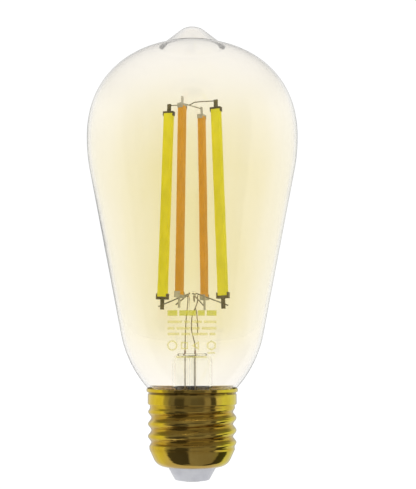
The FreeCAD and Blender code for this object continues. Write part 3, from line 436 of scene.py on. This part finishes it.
def plated_brass(cap):
    """Thin brass plating, duller at the thread's roots, with painted reflection: duller at the front and the
    back for the dark room it reflects and greener on the +X side. Painted shade darkens the groove under the
    lip.
    """
    groove = SHELL_HIGH.z - 1.3 * MM
    edge = 0.6 * MM
    reflection_to, bright_from = 5 * MM, 9.5 * MM

    def recipe(s):
        place = s.place()
        x, y, z = (s.axis(place, letter) for letter in "XYZ")
        root = 1.0 - s.step((x ** 2 + y ** 2) ** 0.5, cap.minor, cap.major)
        rolled = s.step(z, cap.thread_low - edge, cap.thread_low + edge)
        rolled = rolled * s.step(z, cap.thread_high - edge, cap.thread_high + edge, 1.0, 0.0)
        lines = s.noise(0.5 * MM, 1.5, 0.5, (0.07, 0.07, 1))
        blotch = s.noise(3.2 * MM, 3.0, 0.55, (1, 1, 0.7))
        # painted shade in the groove under the lip, broken up by the blotches
        groove_shade = s.step(z, groove - 0.45 * MM, groove - 0.2 * MM)
        groove_shade = groove_shade * s.step(z, groove + 0.1 * MM, groove + 0.3 * MM, 1.0, 0.0)
        # painted reflection: greener towards the +X side
        plating = s.blend(s.step(x, -2 * MM, 9 * MM), tuple(cap.brass), tuple(cap.side_reflection_brass))
        # painted reflection: duller towards the front and the back, where the dark room is reflected
        front_back_reflection = s.step(x ** 2, reflection_to ** 2, bright_from ** 2, 1.0, 0.0)
        plating = s.blend(front_back_reflection, plating, tuple(cap.painted_reflection_brass))
        worn = rolled * root * 0.5 + s.step(blotch, 0.4, 0.65, 0.2, 0.0)
        plating = s.blend(worn, plating, tuple(cap.tarnish))
        return {
            "Base Color": s.blend(groove_shade * s.step(blotch, 0.4, 0.55, 0.25, 0.8), plating, tuple(cap.groove_shade)),
            "Metallic": 1.0,
            "Roughness": cap.roughness + (blotch - 0.5) * 0.1 + rolled * root * 0.06 + (lines - 0.5) * 0.08,
            "Normal": s.bump(lines * (0.15 + rolled * 0.85) + blotch * 0.12, 0.9, 0.17 * MM),
        }

    return finish("plated_brass", recipe)


def solder_mask(name, mask, track):
    """Circuit board: lacquer over copper tracks that run on a fine grid."""

    def recipe(s):
        grid = {"Vector": s.stretched((1, 1, 1)), "Scale": 1 / (1.3 * MM), "Randomness": 0.35}
        cells = s.node("ShaderNodeTexVoronoi", {"feature": "DISTANCE_TO_EDGE"}, grid, "Distance")
        weave = s.noise(0.25 * MM, 2.0)
        line = s.step(cells, 0.05, 0.09)
        return {
            "Base Color": s.blend(line, track, mask),
            "Roughness": 0.35 + (weave - 0.5) * 0.15,
            "Normal": s.bump(line + weave * 0.2, 0.25, 0.03 * MM),
        }

    return finish(name, recipe)


def printed_ink(name, colour, cover):
    """Thin fired ink, a little broken up where it is worn, that lets the light behind it through, with a
    painted glow that keeps it bright.
    """

    def recipe(s):
        worn = s.noise(0.3 * MM, 4.0, 0.7)
        ink = s.blend(worn, tuple(part * 0.85 for part in colour), colour)
        return {
            "Base Color": ink,
            "Roughness": 0.45 + (worn - 0.5) * 0.2,
            # painted glow: emission that brightens the ink beyond what the lamps give it
            "Emission Color": ink,
            "Emission Strength": 0.6,
            "Alpha": s.step(worn, 0.25, 0.6, cover * 0.7, cover),
        }

    return finish(name, recipe)


# ---------------------------------------------------------------- shaping
class Outline:
    """A chain of edges in the XZ plane, drawn on from its last point."""

    def __init__(self, shape, x, z):
        self.shape = shape
        self.end = shape.verts.new((x, 0, z))

    def to(self, x, z):
        self.end = bmesh.ops.extrude_vert_indiv(self.shape, verts=[self.end])["verts"][0]
        self.end.co = (x, 0, z)

    def through(self, points):
        for x, z in points:
            self.to(x, z)

    def turn(self, centre, angle, steps):
        """Sweep about a centre; a positive angle turns from +Z towards +X."""
        centre = (centre[0], 0, centre[1])
        made = bmesh.ops.spin(
            self.shape, geom=[self.end], cent=centre, axis=(0, 1, 0), angle=angle, steps=steps
        )
        self.end = next(item for item in made["geom_last"] if isinstance(item, bmesh.types.BMVert))


def lathe(shape, steps):
    """Full turn of the outline about the bulb's axis, closed and facing outwards."""
    bmesh.ops.spin(
        shape,
        geom=shape.verts[:] + shape.edges[:],
        cent=(0, 0, 0),
        axis=(0, 0, 1),
        angle=math.tau,
        steps=steps,
        use_merge=True,
    )
    bmesh.ops.remove_doubles(shape, verts=shape.verts, dist=SAME_POINT)
    bmesh.ops.recalc_face_normals(shape, faces=shape.faces)


def soften(shape, edges, width, segments):
    bmesh.ops.bevel(
        shape,
        geom=edges,
        offset=width,
        offset_type="OFFSET",
        affect="EDGES",
        segments=segments,
        profile=0.5,
        material=-1,
        clamp_overlap=True,
    )


def sharp_edges(shape, degrees):
    limit = math.radians(degrees)
    return [edge for edge in shape.edges if len(edge.link_faces) == 2 and edge.calc_face_angle() > limit]


def piece(name, shape, material, nodes=()):
    """Makes a shape a piece that rides on the bulb and stands for its CAD nodes."""
    for face in shape.faces:
        face.smooth = True
    for edge in sharp_edges(shape, 40):
        edge.smooth = False
    mesh = bpy.data.meshes.new(name)
    shape.to_mesh(mesh)
    shape.free()
    mesh.materials.append(material)
    made = bpy.data.objects.new(name, mesh)
    bpy.context.scene.collection.objects.link(made)
    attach(made, "root")
    if nodes:
        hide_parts(*nodes)


def dress(material, *nodes):
    """Gives CAD nodes a finish."""
    for name in nodes:
        slots = NODES[name].data.materials
        slots.clear()
        slots.append(material)


def softened_copy(node, width):
    """The CAD solid with its triangles joined into flat faces and its edges rounded."""
    shape = bmesh.new()
    shape.from_mesh(NODES[node].data)
    bmesh.ops.remove_doubles(shape, verts=shape.verts, dist=SAME_POINT)
    bmesh.ops.dissolve_limit(shape, angle_limit=math.radians(1), verts=shape.verts, edges=shape.edges)
    soften(shape, sharp_edges(shape, 30), width, 2)
    return shape


def filament_seat(node):
    """Matrix from a filament's own frame (X across, Y thick, Z along, foot at zero) and its size."""
    points = [vertex.co for vertex in NODES[node].data.vertices]
    middle = sum((point.z for point in points)) / len(points)
    feet = [point for point in points if point.z < middle]
    heads = [point for point in points if point.z >= middle]
    foot = sum(feet, Vector()) / len(feet)
    along = (sum(heads, Vector()) / len(heads) - foot).normalized()
    thick = Vector((0, 0, 1)).cross(Vector((foot.x, foot.y, 0))).normalized()
    across = thick.cross(along).normalized()
    turned = Matrix((across, thick, along)).transposed()
    local = [turned.transposed() @ point for point in points]
    low = Vector([min(point[i] for point in local) for i in range(3)])
    high = Vector([max(point[i] for point in local) for i in range(3)])
    origin = turned @ Vector(((low.x + high.x) / 2, (low.y + high.y) / 2, low.z))
    return Matrix.Translation(origin) @ turned.to_4x4(), high - low


# ---------------------------------------------------------------- glass
def glass_outline(shape, glass):
    """Draws the wall from the tip down the outside and up the inside, and returns the tip's two seams."""
    slope = glass.throat_slope
    throat = (
        glass.mouth_radius - glass.throat_arc * math.cos(slope),
        SHELL_HIGH.z + glass.throat_arc * math.sin(slope),
    )
    belly = (glass.belly_radius - glass.belly_arc, glass.belly_height)
    dx, dz = belly[0] - throat[0], belly[1] - throat[1]
    taper = math.acos((glass.throat_arc - glass.belly_arc) / math.hypot(dx, dz)) - math.atan2(dz, dx)
    hollow_x = glass.neck_radius + glass.neck_fillet
    reach = glass.throat_arc + glass.neck_fillet
    end = math.acos((hollow_x - throat[0]) / reach)
    hollow = (hollow_x, throat[1] - reach * math.sin(end))

    def dome(share, inset=0.0, drop=0.0):
        """Point of the dome, set in at the largest circle and lowered at the crown."""
        turn = share * math.pi / 2
        power = 2 / glass.dome_power
        radius = (glass.belly_radius - inset) * math.cos(turn) ** power
        return radius, glass.belly_height + (glass.dome_rise - drop) * math.sin(turn) ** power

    def arc_start(centre, radius, angle):
        return centre[0] + radius * math.cos(angle), centre[1] - radius * math.sin(angle)

    crown = (0, HEIGHT - glass.tip_crown)

    def tip_foot(inset=0.0, drop=0.0, tip_wall=0.0):
        """Where the tip's side meets the dome, as a share of the dome's curve."""
        share = 1.0
        while True:
            share -= 0.001
            radius, height = dome(share, inset, drop)
            side = crown[1] + (glass.tip_crown - tip_wall) / math.cos(glass.tip_slope)
            if side - radius * math.tan(glass.tip_slope) < height:
                return share

    thin = (glass.wall, glass.crown_wall)
    foot, ridge = tip_foot(), tip_foot(*thin, glass.tip_wall)
    rows, tip_steps, belly_steps, throat_steps, neck_steps = 34, 12, 12, 18, 8

    line = Outline(shape, 0, HEIGHT)
    line.turn(crown, glass.tip_slope, tip_steps)
    line.through([dome(foot * (rows - row) / rows) for row in range(rows + 1)])
    line.turn(belly, taper, belly_steps)
    line.to(*arc_start(throat, glass.throat_arc, taper))
    line.turn(throat, end - taper, throat_steps)
    line.turn(hollow, -end, neck_steps)
    line.to(glass.neck_radius, GLASS_LOW.z)

    line.to(glass.neck_radius - glass.wall, GLASS_LOW.z)
    line.to(glass.neck_radius - glass.wall, hollow[1])
    line.turn(hollow, end, neck_steps)
    line.turn(throat, taper - end, throat_steps)
    line.to(*arc_start(belly, glass.belly_arc - glass.wall, taper))
    line.turn(belly, -taper, belly_steps)
    line.through([dome(ridge * row / rows, *thin) for row in range(1, rows + 1)])
    inner = glass.tip_crown - glass.tip_wall
    line.to(inner * math.sin(glass.tip_slope), crown[1] + inner * math.cos(glass.tip_slope))
    line.turn(crown, -glass.tip_slope, tip_steps)
    return dome(foot), dome(ridge, *thin)


class BULB_OT_glass(bpy.types.Operator):
    """Turn the pear-shaped glass with its wall and hollow tip"""

    bl_idname = "bulb.glass"
    bl_label = "Glass"

    def execute(self, context):
        glass = context.scene.bulb_glass
        shape = bmesh.new()
        seams = glass_outline(shape, glass)
        lathe(shape, glass.steps)
        for (radius, height), width in zip(seams, (glass.tip_fillet, glass.tip_ridge)):
            on_seam = {
                vertex
                for vertex in shape.verts
                if abs(vertex.co.z - height) < SAME_POINT / 2
                and abs(math.hypot(vertex.co.x, vertex.co.y) - radius) < SAME_POINT * 5
            }
            soften(shape, [edge for edge in shape.edges if on_seam.issuperset(edge.verts)], width, 5)
        piece("bulb_glass", shape, amber_glass(glass), ("glass_envelope",))
        return {"FINISHED"}


# ---------------------------------------------------------------- print
WORD_GAP = 0.04
# rows of bars: how high up the bulb and how tall in mm, and their widths as shares of the print's width
HEADING = (48.85, 1.5, (0.2, 0.34, 0.14, 0.2))
ROWS = (
    (46.4, 0.7, (0.3, 0.12, 0.2, 0.26)),
    (44.6, 0.7, (0.14, 0.28, 0.16, 0.3)),
    (43.0, 0.7, (0.24, 0.18, 0.32, 0.12)),
)
SIGN_Z = 39.8 * MM
SIGN_RADIUS = 1.45 * MM
SIGN_STROKE = 0.42 * MM
# signs: sideways place in mm, number of sides, turn in the plane
SIGNS = ((-5.6, 24, 0.0), (-2.2, 4, math.pi / 4), (1.2, 3, math.pi / 2), (5.4, 6, 0.0))
# underlines: sideways place, height up the bulb, width and thickness in mm
UNDERLINES = ((5.4, 37.75, 2.2, 0.45), (-0.2, 36.6, 8.4, 0.4))


def bar(shape, x, z, width, height):
    """Flat bar facing the front, its centre at x and z."""
    made = bmesh.ops.create_grid(shape, x_segments=1, y_segments=1, size=0.5)["verts"]
    bmesh.ops.scale(shape, vec=(width, height, 1), verts=made)
    place = Matrix.Translation((x, 0, z)) @ Matrix.Rotation(math.pi / 2, 4, "X")
    bmesh.ops.transform(shape, matrix=place, verts=made)


def word_row(shape, ink, height, tall, words):
    """A row of bars in place of words, each a share of the printed width."""
    width = ink.right - ink.left
    start = ink.left
    for share in words:
        bar(shape, start + share * width / 2, height * MM, share * width, tall * MM)
        start += (share + WORD_GAP) * width


def outline_sign(shape, x, z, sides, turn):
    """Plain ring, square, triangle or hexagon drawn as a stroke."""
    made = bmesh.ops.create_circle(shape, cap_ends=True, segments=sides, radius=SIGN_RADIUS)["verts"]
    upright = Matrix.Translation((x, 0, z)) @ Matrix.Rotation(math.pi / 2, 4, "X")
    bmesh.ops.transform(shape, matrix=upright @ Matrix.Rotation(turn, 4, "Z"), verts=made)
    face = made[0].link_faces[0]
    bmesh.ops.inset_region(
        shape, faces=[face], thickness=SIGN_STROKE, use_boundary=True, use_even_offset=True
    )
    bmesh.ops.delete(shape, geom=[face], context="FACES_ONLY")


def lay_on_glass(shape, surface, thickness):
    """Cuts flat marks into short lengths, lays them on the front of the glass and thickens them."""
    wide = max(abs(vertex.co.x) for vertex in shape.verts)
    cuts = 14
    for count in range(-cuts, cuts + 1):
        geometry = shape.verts[:] + shape.edges[:] + shape.faces[:]
        bmesh.ops.bisect_plane(shape, geom=geometry, plane_co=(wide * count / cuts, 0, 0), plane_no=(1, 0, 0))
    for vertex in shape.verts:
        hit, normal, _, _ = surface.ray_cast(Vector((vertex.co.x, -1, vertex.co.z)), Vector((0, 1, 0)))
        vertex.co = hit + normal * thickness
    shape.normal_update()
    bmesh.ops.reverse_faces(shape, faces=[face for face in shape.faces if face.normal.y > 0])
    bite = 0.3 * thickness
    bmesh.ops.solidify(shape, geom=shape.faces[:], thickness=thickness + bite)


class BULB_OT_print(bpy.types.Operator):
    """Print plain bars and simple signs on the front of the glass"""

    bl_idname = "bulb.print"
    bl_label = "Print"

    def execute(self, context):
        ink = context.scene.bulb_print
        glass = bpy.data.objects["bulb_glass"]
        surface = BVHTree.FromObject(glass, context.evaluated_depsgraph_get())
        heading = bmesh.new()
        word_row(heading, ink, *HEADING)
        lay_on_glass(heading, surface, ink.thickness)
        finished = printed_ink("heading_ink", tuple(ink.heading_ink), ink.heading_cover)
        piece("print_heading", heading, finished)
        lines = bmesh.new()
        for row in ROWS:
            word_row(lines, ink, *row)
        for x, sides, turn in SIGNS:
            outline_sign(lines, x * MM, SIGN_Z, sides, turn)
        for sizes in UNDERLINES:
            bar(lines, *(size * MM for size in sizes))
        lay_on_glass(lines, surface, ink.thickness)
        finished = printed_ink("line_ink", tuple(ink.line_ink), ink.line_cover)
        piece("print_lines", lines, finished)
        return {"FINISHED"}


# ---------------------------------------------------------------- stem, filaments, wires
class BULB_OT_stem(bpy.types.Operator):
    """Finish the glass stem, its tube and the seals of the leads"""

    bl_idname = "bulb.stem"
    bl_label = "Stem"

    def execute(self, context):
        dress(stem_glass(), "stem_flare", "exhaust_tube", "stem_rod")
        copper = metal("seal_copper", linear(160, 124, 92), linear(134, 100, 74), 0.35, 0.2 * MM)
        dress(copper, "lead_seals")
        return {"FINISHED"}


class BULB_OT_filaments(bpy.types.Operator):
    """Mould the four coated filaments and round the edges of their clips"""

    bl_idname = "bulb.filaments"
    bl_label = "Filaments"

    def coat(self, name, settings, material):
        node = name + "_phosphor"
        seat, size = filament_seat(node)
        shape = bmesh.new()
        made = bmesh.ops.create_cube(shape, size=1.0)["verts"]
        bmesh.ops.transform(
            shape, matrix=Matrix.Translation((0, 0, size.z / 2)) @ Matrix.Diagonal((*size, 1)), verts=made
        )

        def upright():
            return [edge for edge in shape.edges if abs(edge.verts[0].co.z - edge.verts[1].co.z) > size.z / 2]

        soften(shape, upright(), settings.edge, 4)
        rows_per_chip = 4
        bmesh.ops.subdivide_edges(
            shape, edges=upright(), cuts=settings.chips * rows_per_chip - 1, use_grid_fill=True
        )
        soften(shape, sharp_edges(shape, 60), 0.12 * MM, 3)
        pitch = size.z / settings.chips
        for vertex in shape.verts:
            swell = settings.bead * (0.5 - 0.5 * math.cos(math.tau * vertex.co.z / pitch))
            vertex.co.x += math.copysign(swell, vertex.co.x) * 0.6
            vertex.co.y += math.copysign(swell, vertex.co.y)
        bmesh.ops.transform(shape, matrix=seat, verts=shape.verts)
        piece(name + "_coat", shape, material, (node,))

    def execute(self, context):
        settings = context.scene.bulb_filaments
        coats = {
            "cool": filament_coat("cool_coat", tuple(settings.cool_coat), settings.painted_glow),
            "warm": filament_coat("warm_coat", tuple(settings.warm_coat), settings.painted_glow),
        }
        cool, warm = tuple(settings.cool_clip), tuple(settings.warm_clip)
        clips = {
            "cool": ("clip_bronze", metal("clip_bronze", cool, tuple(c * 0.7 for c in cool), 0.45, 0.3 * MM)),
            "warm": ("clip_silver", metal("clip_silver", warm, tuple(c * 0.8 for c in warm), 0.35, 0.3 * MM)),
        }
        ceramic = moulded("strip_ceramic", linear(236, 233, 222), linear(222, 216, 200), 0.5, 0.1 * MM)
        crystal = moulded("chip_crystal", linear(120, 150, 190), linear(150, 176, 206), 0.2, 0.1 * MM)
        for name in FILAMENTS:
            channel = name.split("_")[0]
            self.coat(name, settings, coats[channel])
            slot, material = clips[channel]
            for end in ("top_clip", "bottom_clip"):
                node = name + "_" + end
                piece(node + "_rounded", softened_copy(node, 0.07 * MM), material, (node,))
            dress(ceramic, name + "_strip")
            dress(crystal, name + "_chips")
        return {"FINISHED"}


class BULB_OT_wires(bpy.types.Operator):
    """Finish the support arms, the links over the top and the leads beside the rod"""

    bl_idname = "bulb.wires"
    bl_label = "Wires"

    def execute(self, context):
        grain, along = 0.15 * MM, (1, 1, 0.1)
        support = metal("support_wire", linear(166, 160, 138), linear(134, 126, 102), 0.4, grain, along)
        dress(support, *["arm_" + name for name in FILAMENTS])
        dress(support, "common_link", "top_link_cool", "top_link_warm")
        lead = metal("lead_wire", linear(176, 164, 136), linear(140, 128, 102), 0.42, grain, along)
        dress(lead, "lead_cool", "lead_warm", "lead_common")
        return {"FINISHED"}


# ---------------------------------------------------------------- cap
def shell_outline(shape, cap):
    """The shell's outer skin, from the lip down to the hole in its floor."""
    rim = SHELL_HIGH.z
    mean = (cap.major + cap.minor) / 2
    groove = cap.collar - 0.2 * MM
    skin = Outline(shape, cap.lip - 0.1 * MM, rim)
    skin.turn((cap.lip - 0.1 * MM, rim - 0.1 * MM), math.pi / 2, 3)
    skin.to(cap.lip, rim - 0.8 * MM)
    skin.turn((cap.lip - 0.1 * MM, rim - 0.8 * MM), math.radians(60), 3)
    skin.through([(groove, rim - 1.15 * MM), (groove, rim - 1.5 * MM), (cap.collar, rim - 1.75 * MM)])
    bend = 0.35 * MM
    skin.to(cap.collar, cap.thread_high + bend)
    skin.turn((cap.collar - bend, cap.thread_high + bend), math.pi / 2, 5)
    rows = 96
    drop = (cap.thread_high - cap.thread_low) / rows
    skin.through([(mean, cap.thread_high - drop * row) for row in range(rows + 1)])
    floor = SHELL_LOW.z
    centre_z = floor + cap.bottom_bend
    foot_z = centre_z - cap.bottom_bend * math.sin(cap.shoulder)
    foot_r = mean - (cap.thread_low - foot_z) * math.tan(cap.shoulder)
    skin.to(foot_r, foot_z)
    centre_r = foot_r - cap.bottom_bend * math.cos(cap.shoulder)
    skin.turn((centre_r, centre_z), math.pi / 2 - cap.shoulder, 12)
    skin.to(cap.hole, floor)


class BULB_OT_cap(bpy.types.Operator):
    """Roll the threaded shell and finish the insulator and the contact"""

    bl_idname = "bulb.cap"
    bl_label = "Cap"

    def roll_thread(self, shape, cap):
        """Presses a right-hand wave into the straight part of the skin."""
        wave = (cap.major - cap.minor) / 2
        for vertex in shape.verts:
            x, y, z = vertex.co
            if not cap.thread_low < z < cap.thread_high:
                continue
            near = min(1.0, min(z - cap.thread_low, cap.thread_high - z) / cap.fade)
            near = near * near * (3 - 2 * near)
            phase = math.tau * (z - cap.phase) / cap.pitch - math.atan2(y, x)
            radius = math.hypot(x, y)
            grown = (radius + wave * near * math.cos(phase)) / radius
            vertex.co.x *= grown
            vertex.co.y *= grown

    def execute(self, context):
        cap = context.scene.bulb_cap
        shape = bmesh.new()
        shell_outline(shape, cap)
        lathe(shape, cap.steps)
        self.roll_thread(shape, cap)
        # the skin's faces have to point outwards before the sheet's thickness grows inwards
        outer = max(shape.faces, key=lambda face: face.calc_center_median().z)
        if outer.normal.dot(Vector((*outer.calc_center_median().xy, 0))) < 0 and outer.normal.z < 0:
            bmesh.ops.reverse_faces(shape, faces=shape.faces)
        bmesh.ops.solidify(shape, geom=shape.faces[:], thickness=cap.sheet)
        piece("screw_shell_brass", shape, plated_brass(cap), ("screw_shell",))
        white = moulded("base_white", linear(212, 213, 219), linear(200, 201, 208), 0.4, 0.25 * MM, 0.12)
        dress(white, "base_insulator")
        nickel = metal("contact_nickel", linear(206, 202, 196), linear(176, 170, 162), 0.25, 0.2 * MM)
        dress(nickel, "centre_contact")
        return {"FINISHED"}


# ---------------------------------------------------------------- driver
PACKAGES = ("bridge_rectifier", "driver_chip", "dimming_transistors", "radio_chip")
# name, colour, duller colour, roughness, grain in mm, what else differs in the skin, parts
DRIVER_PLASTICS = (
    # the cup and the cement get a painted glow: emission that stands for light reaching them inside the
    # sealed glass
    ("cup_white", (226, 214, 176), (212, 198, 156), 0.5, 0.3, {"painted_glow": 0.3}, ("driver_cup",)),
    ("cement", (186, 160, 84), (160, 134, 64), 0.85, 0.3, {"bump": 0.6, "painted_glow": 0.3}, ("neck_cement",)),
    ("package_black", (40, 40, 42), (52, 52, 54), 0.55, 0.1, {}, PACKAGES),
    (
        "capacitor_sleeve", (34, 44, 62), (44, 54, 74), 0.35, 0.4, {"bump": 0.1, "coat": 0.3},
        ("bulk_capacitor", "smoothing_capacitor"),
    ),
    ("ferrite", (58, 56, 58), (74, 72, 72), 0.7, 0.15, {"bump": 0.5}, ("choke_core",)),
    ("resistor_body", (176, 196, 190), (150, 172, 168), 0.4, 0.2, {}, ("fuse_resistor",)),
    ("small_part", (150, 120, 92), (126, 98, 72), 0.45, 0.1, {}, ("chip_resistors", "chip_capacitors")),
    ("live_insulation", (176, 44, 36), (150, 34, 30), 0.45, 0.2, {}, ("live_wire",)),
    ("neutral_insulation", (52, 74, 140), (42, 60, 118), 0.45, 0.2, {}, ("neutral_wire",)),
)
# name, bright colour, dull colour, roughness, grain in mm, parts
DRIVER_METALS = (
    ("winding_copper", (196, 110, 62), (160, 84, 46), 0.3, 0.2, ("choke_winding",)),
    ("pin_gold", (226, 186, 96), (200, 160, 76), 0.25, 0.1, ("board_pins", "radio_antenna")),
    ("solder", (190, 190, 192), (160, 160, 164), 0.3, 0.15, ("solder_joints",)),
)


class BULB_OT_driver(bpy.types.Operator):
    """Finish the driver in the cap: its cup, board, components and wires"""

    bl_idname = "bulb.driver"
    bl_label = "Driver"

    def execute(self, context):
        for name, colour, shade, roughness, grain, skin, nodes in DRIVER_PLASTICS:
            dress(moulded(name, linear(*colour), linear(*shade), roughness, grain * MM, **skin), *nodes)
        for name, bright, dull, roughness, grain, nodes in DRIVER_METALS:
            dress(metal(name, linear(*bright), linear(*dull), roughness, grain * MM), *nodes)
        brushed = metal("can_steel", linear(196, 196, 196), linear(172, 172, 172), 0.3, 0.2 * MM, (1, 0.1, 1))
        dress(brushed, "radio_can")
        green = solder_mask("board_green", linear(28, 92, 58), linear(74, 134, 74))
        dress(green, "driver_board", "radio_board")
        return {"FINISHED"}


# ---------------------------------------------------------------- studio
# brightness of the room by degrees round from the front, level with the bulb and under it
WALLS = (
    (-180, 0.5), (-165, 0.6), (-148, 0.95), (-82, 0.95), (-78, 0.52), (-66, 0.45), (-61, 0.26), (-48, 0.25),
    (-45, 0.1), (-22, 0.1), (-19, 0.24), (-5, 0.24), (-2, 0.18), (30, 0.18), (35, 0.42), (47, 0.42),
    (51, 0.1), (63, 0.12), (67, 0.95), (148, 0.95), (165, 0.6), (180, 0.5),
)
LOW_WALLS = (
    (-180, 0.9), (-84, 0.9), (-77, 0.1), (-15, 0.08), (-7, 0.4), (78, 0.34), (85, 0.07), (113, 0.08),
    (120, 0.9), (180, 0.9),
)
CEILING_LEVEL = 0.28
GROUND_LEVEL = 0.4
BACKDROP_LEVEL = 1.045
FLOOR_LEVEL = 1.02
FLOOR_RADIUS = 40


def studio_light():
    """White for what is seen directly or through glass; gloss sees soft boxes between darker walls."""
    world = bpy.data.worlds.new("studio")
    world.use_nodes = True
    s = Shading(world.node_tree)
    way = s.node("ShaderNodeTexCoord", output="Generated")
    x, y, z = (s.axis(way, letter) for letter in "XYZ")
    turn = s.math("ARCTAN2", x, 0.0 - y) / math.tau + 0.5
    level, below = (
        s.levels(turn, [(0.5 + degrees / 360, level) for degrees, level in stops])
        for stops in (WALLS, LOW_WALLS)
    )
    lower = s.step(z, -0.4, -0.2, 1.0, 0.0)
    upper = s.step(z, 0.3, 0.6)
    level = level * (1.0 - lower) + below * lower
    level = level * (1.0 - upper) + CEILING_LEVEL * upper
    level = s.math("MAXIMUM", level, s.step(z, -0.99, -0.9, GROUND_LEVEL, 0.0))
    camera = s.node("ShaderNodeLightPath", output="Is Camera Ray")
    through = s.node("ShaderNodeLightPath", output="Is Transmission Ray")
    seen = s.math("MAXIMUM", camera, through)
    strength = seen * BACKDROP_LEVEL + (1.0 - seen) * level
    background = s.node("ShaderNodeBackground", None, {"Color": (1, 1, 1, 1), "Strength": strength})
    output = s.tree.nodes.new("ShaderNodeOutputWorld")
    s.tree.links.new(background.socket, output.inputs["Surface"])
    return world


def floor_paint(colour):
    """Pale floor that gives its own light, so the bulb casts hardly any shadow on it."""
    deep, pale = (tuple(part * share for part in colour) for share in (0.1, 0.12))

    def recipe(s):
        return {
            "Base Color": s.blend(s.noise(0.12, 2.0), deep, pale),
            "Roughness": 0.9,
            "Emission Color": (*colour, 1.0),
            "Emission Strength": FLOOR_LEVEL,
        }

    return finish("floor_paint", recipe)


class BULB_OT_stage(bpy.types.Operator):
    """Lay the pale floor and set the studio light and the camera"""

    bl_idname = "bulb.stage"
    bl_label = "Stage"

    def execute(self, context):
        studio = context.scene.bulb_studio
        scene = context.scene
        shape = bmesh.new()
        bmesh.ops.create_circle(shape, cap_ends=True, segments=96, radius=FLOOR_RADIUS)
        bmesh.ops.translate(shape, vec=(0, 0, CAD_BOX[0].z - 0.05 * MM), verts=shape.verts)
        mesh = bpy.data.meshes.new("floor")
        shape.to_mesh(mesh)
        shape.free()
        mesh.materials.append(floor_paint(tuple(studio.floor)))
        floor = bpy.data.objects.new("floor", mesh)
        floor.visible_glossy = False
        scene.collection.objects.link(floor)
        scene.world = studio_light()
        lens = bpy.data.cameras.new("camera")
        lens.lens = studio.lens
        lens.sensor_width = 36.0
        lens.shift_x = studio.shift
        lens.clip_start = 0.01
        camera = bpy.data.objects.new("camera", lens)
        camera.location = (0, -studio.distance, studio.height)
        camera.rotation_euler = (math.pi / 2 + studio.rise, 0, 0)
        scene.collection.objects.link(camera)
        scene.camera = camera
        scene.view_settings.view_transform = "Standard"
        return {"FINISHED"}


# ---------------------------------------------------------------- add-on
GROUPS = {
    "bulb_glass": BULB_PG_glass,
    "bulb_print": BULB_PG_print,
    "bulb_filaments": BULB_PG_filaments,
    "bulb_cap": BULB_PG_cap,
    "bulb_studio": BULB_PG_studio,
}
OPERATORS = (
    (BULB_OT_glass, "bulb_glass"),
    (BULB_OT_print, "bulb_print"),
    (BULB_OT_stem, None),
    (BULB_OT_filaments, "bulb_filaments"),
    (BULB_OT_wires, None),
    (BULB_OT_cap, "bulb_cap"),
    (BULB_OT_driver, None),
    (BULB_OT_stage, "bulb_studio"),
)


class BULB_PT_parts(bpy.types.Panel):
    bl_idname = "BULB_PT_parts"
    bl_label = "Filament bulb"
    bl_space_type = "VIEW_3D"
    bl_region_type = "UI"
    bl_category = "Bulb"

    def draw(self, context):
        for operator, group in OPERATORS:
            box = self.layout.box()
            box.operator(operator.bl_idname)
            settings = getattr(context.scene, group) if group else None
            for name in GROUPS[group].__annotations__ if group else ():
                box.prop(settings, name)


def register():
    for name, group in GROUPS.items():
        bpy.utils.register_class(group)
        setattr(bpy.types.Scene, name, PointerProperty(type=group))
    for operator, _ in OPERATORS:
        bpy.utils.register_class(operator)
    bpy.utils.register_class(BULB_PT_parts)


def unregister():
    bpy.utils.unregister_class(BULB_PT_parts)
    for operator, _ in reversed(OPERATORS):
        bpy.utils.unregister_class(operator)
    for name, group in GROUPS.items():
        delattr(bpy.types.Scene, name)
        bpy.utils.unregister_class(group)


def main():
    register()
    for operator, _ in OPERATORS:
        area, action = operator.bl_idname.split(".")
        getattr(getattr(bpy.ops, area), action)()


if __name__ == "__main__":
    main()
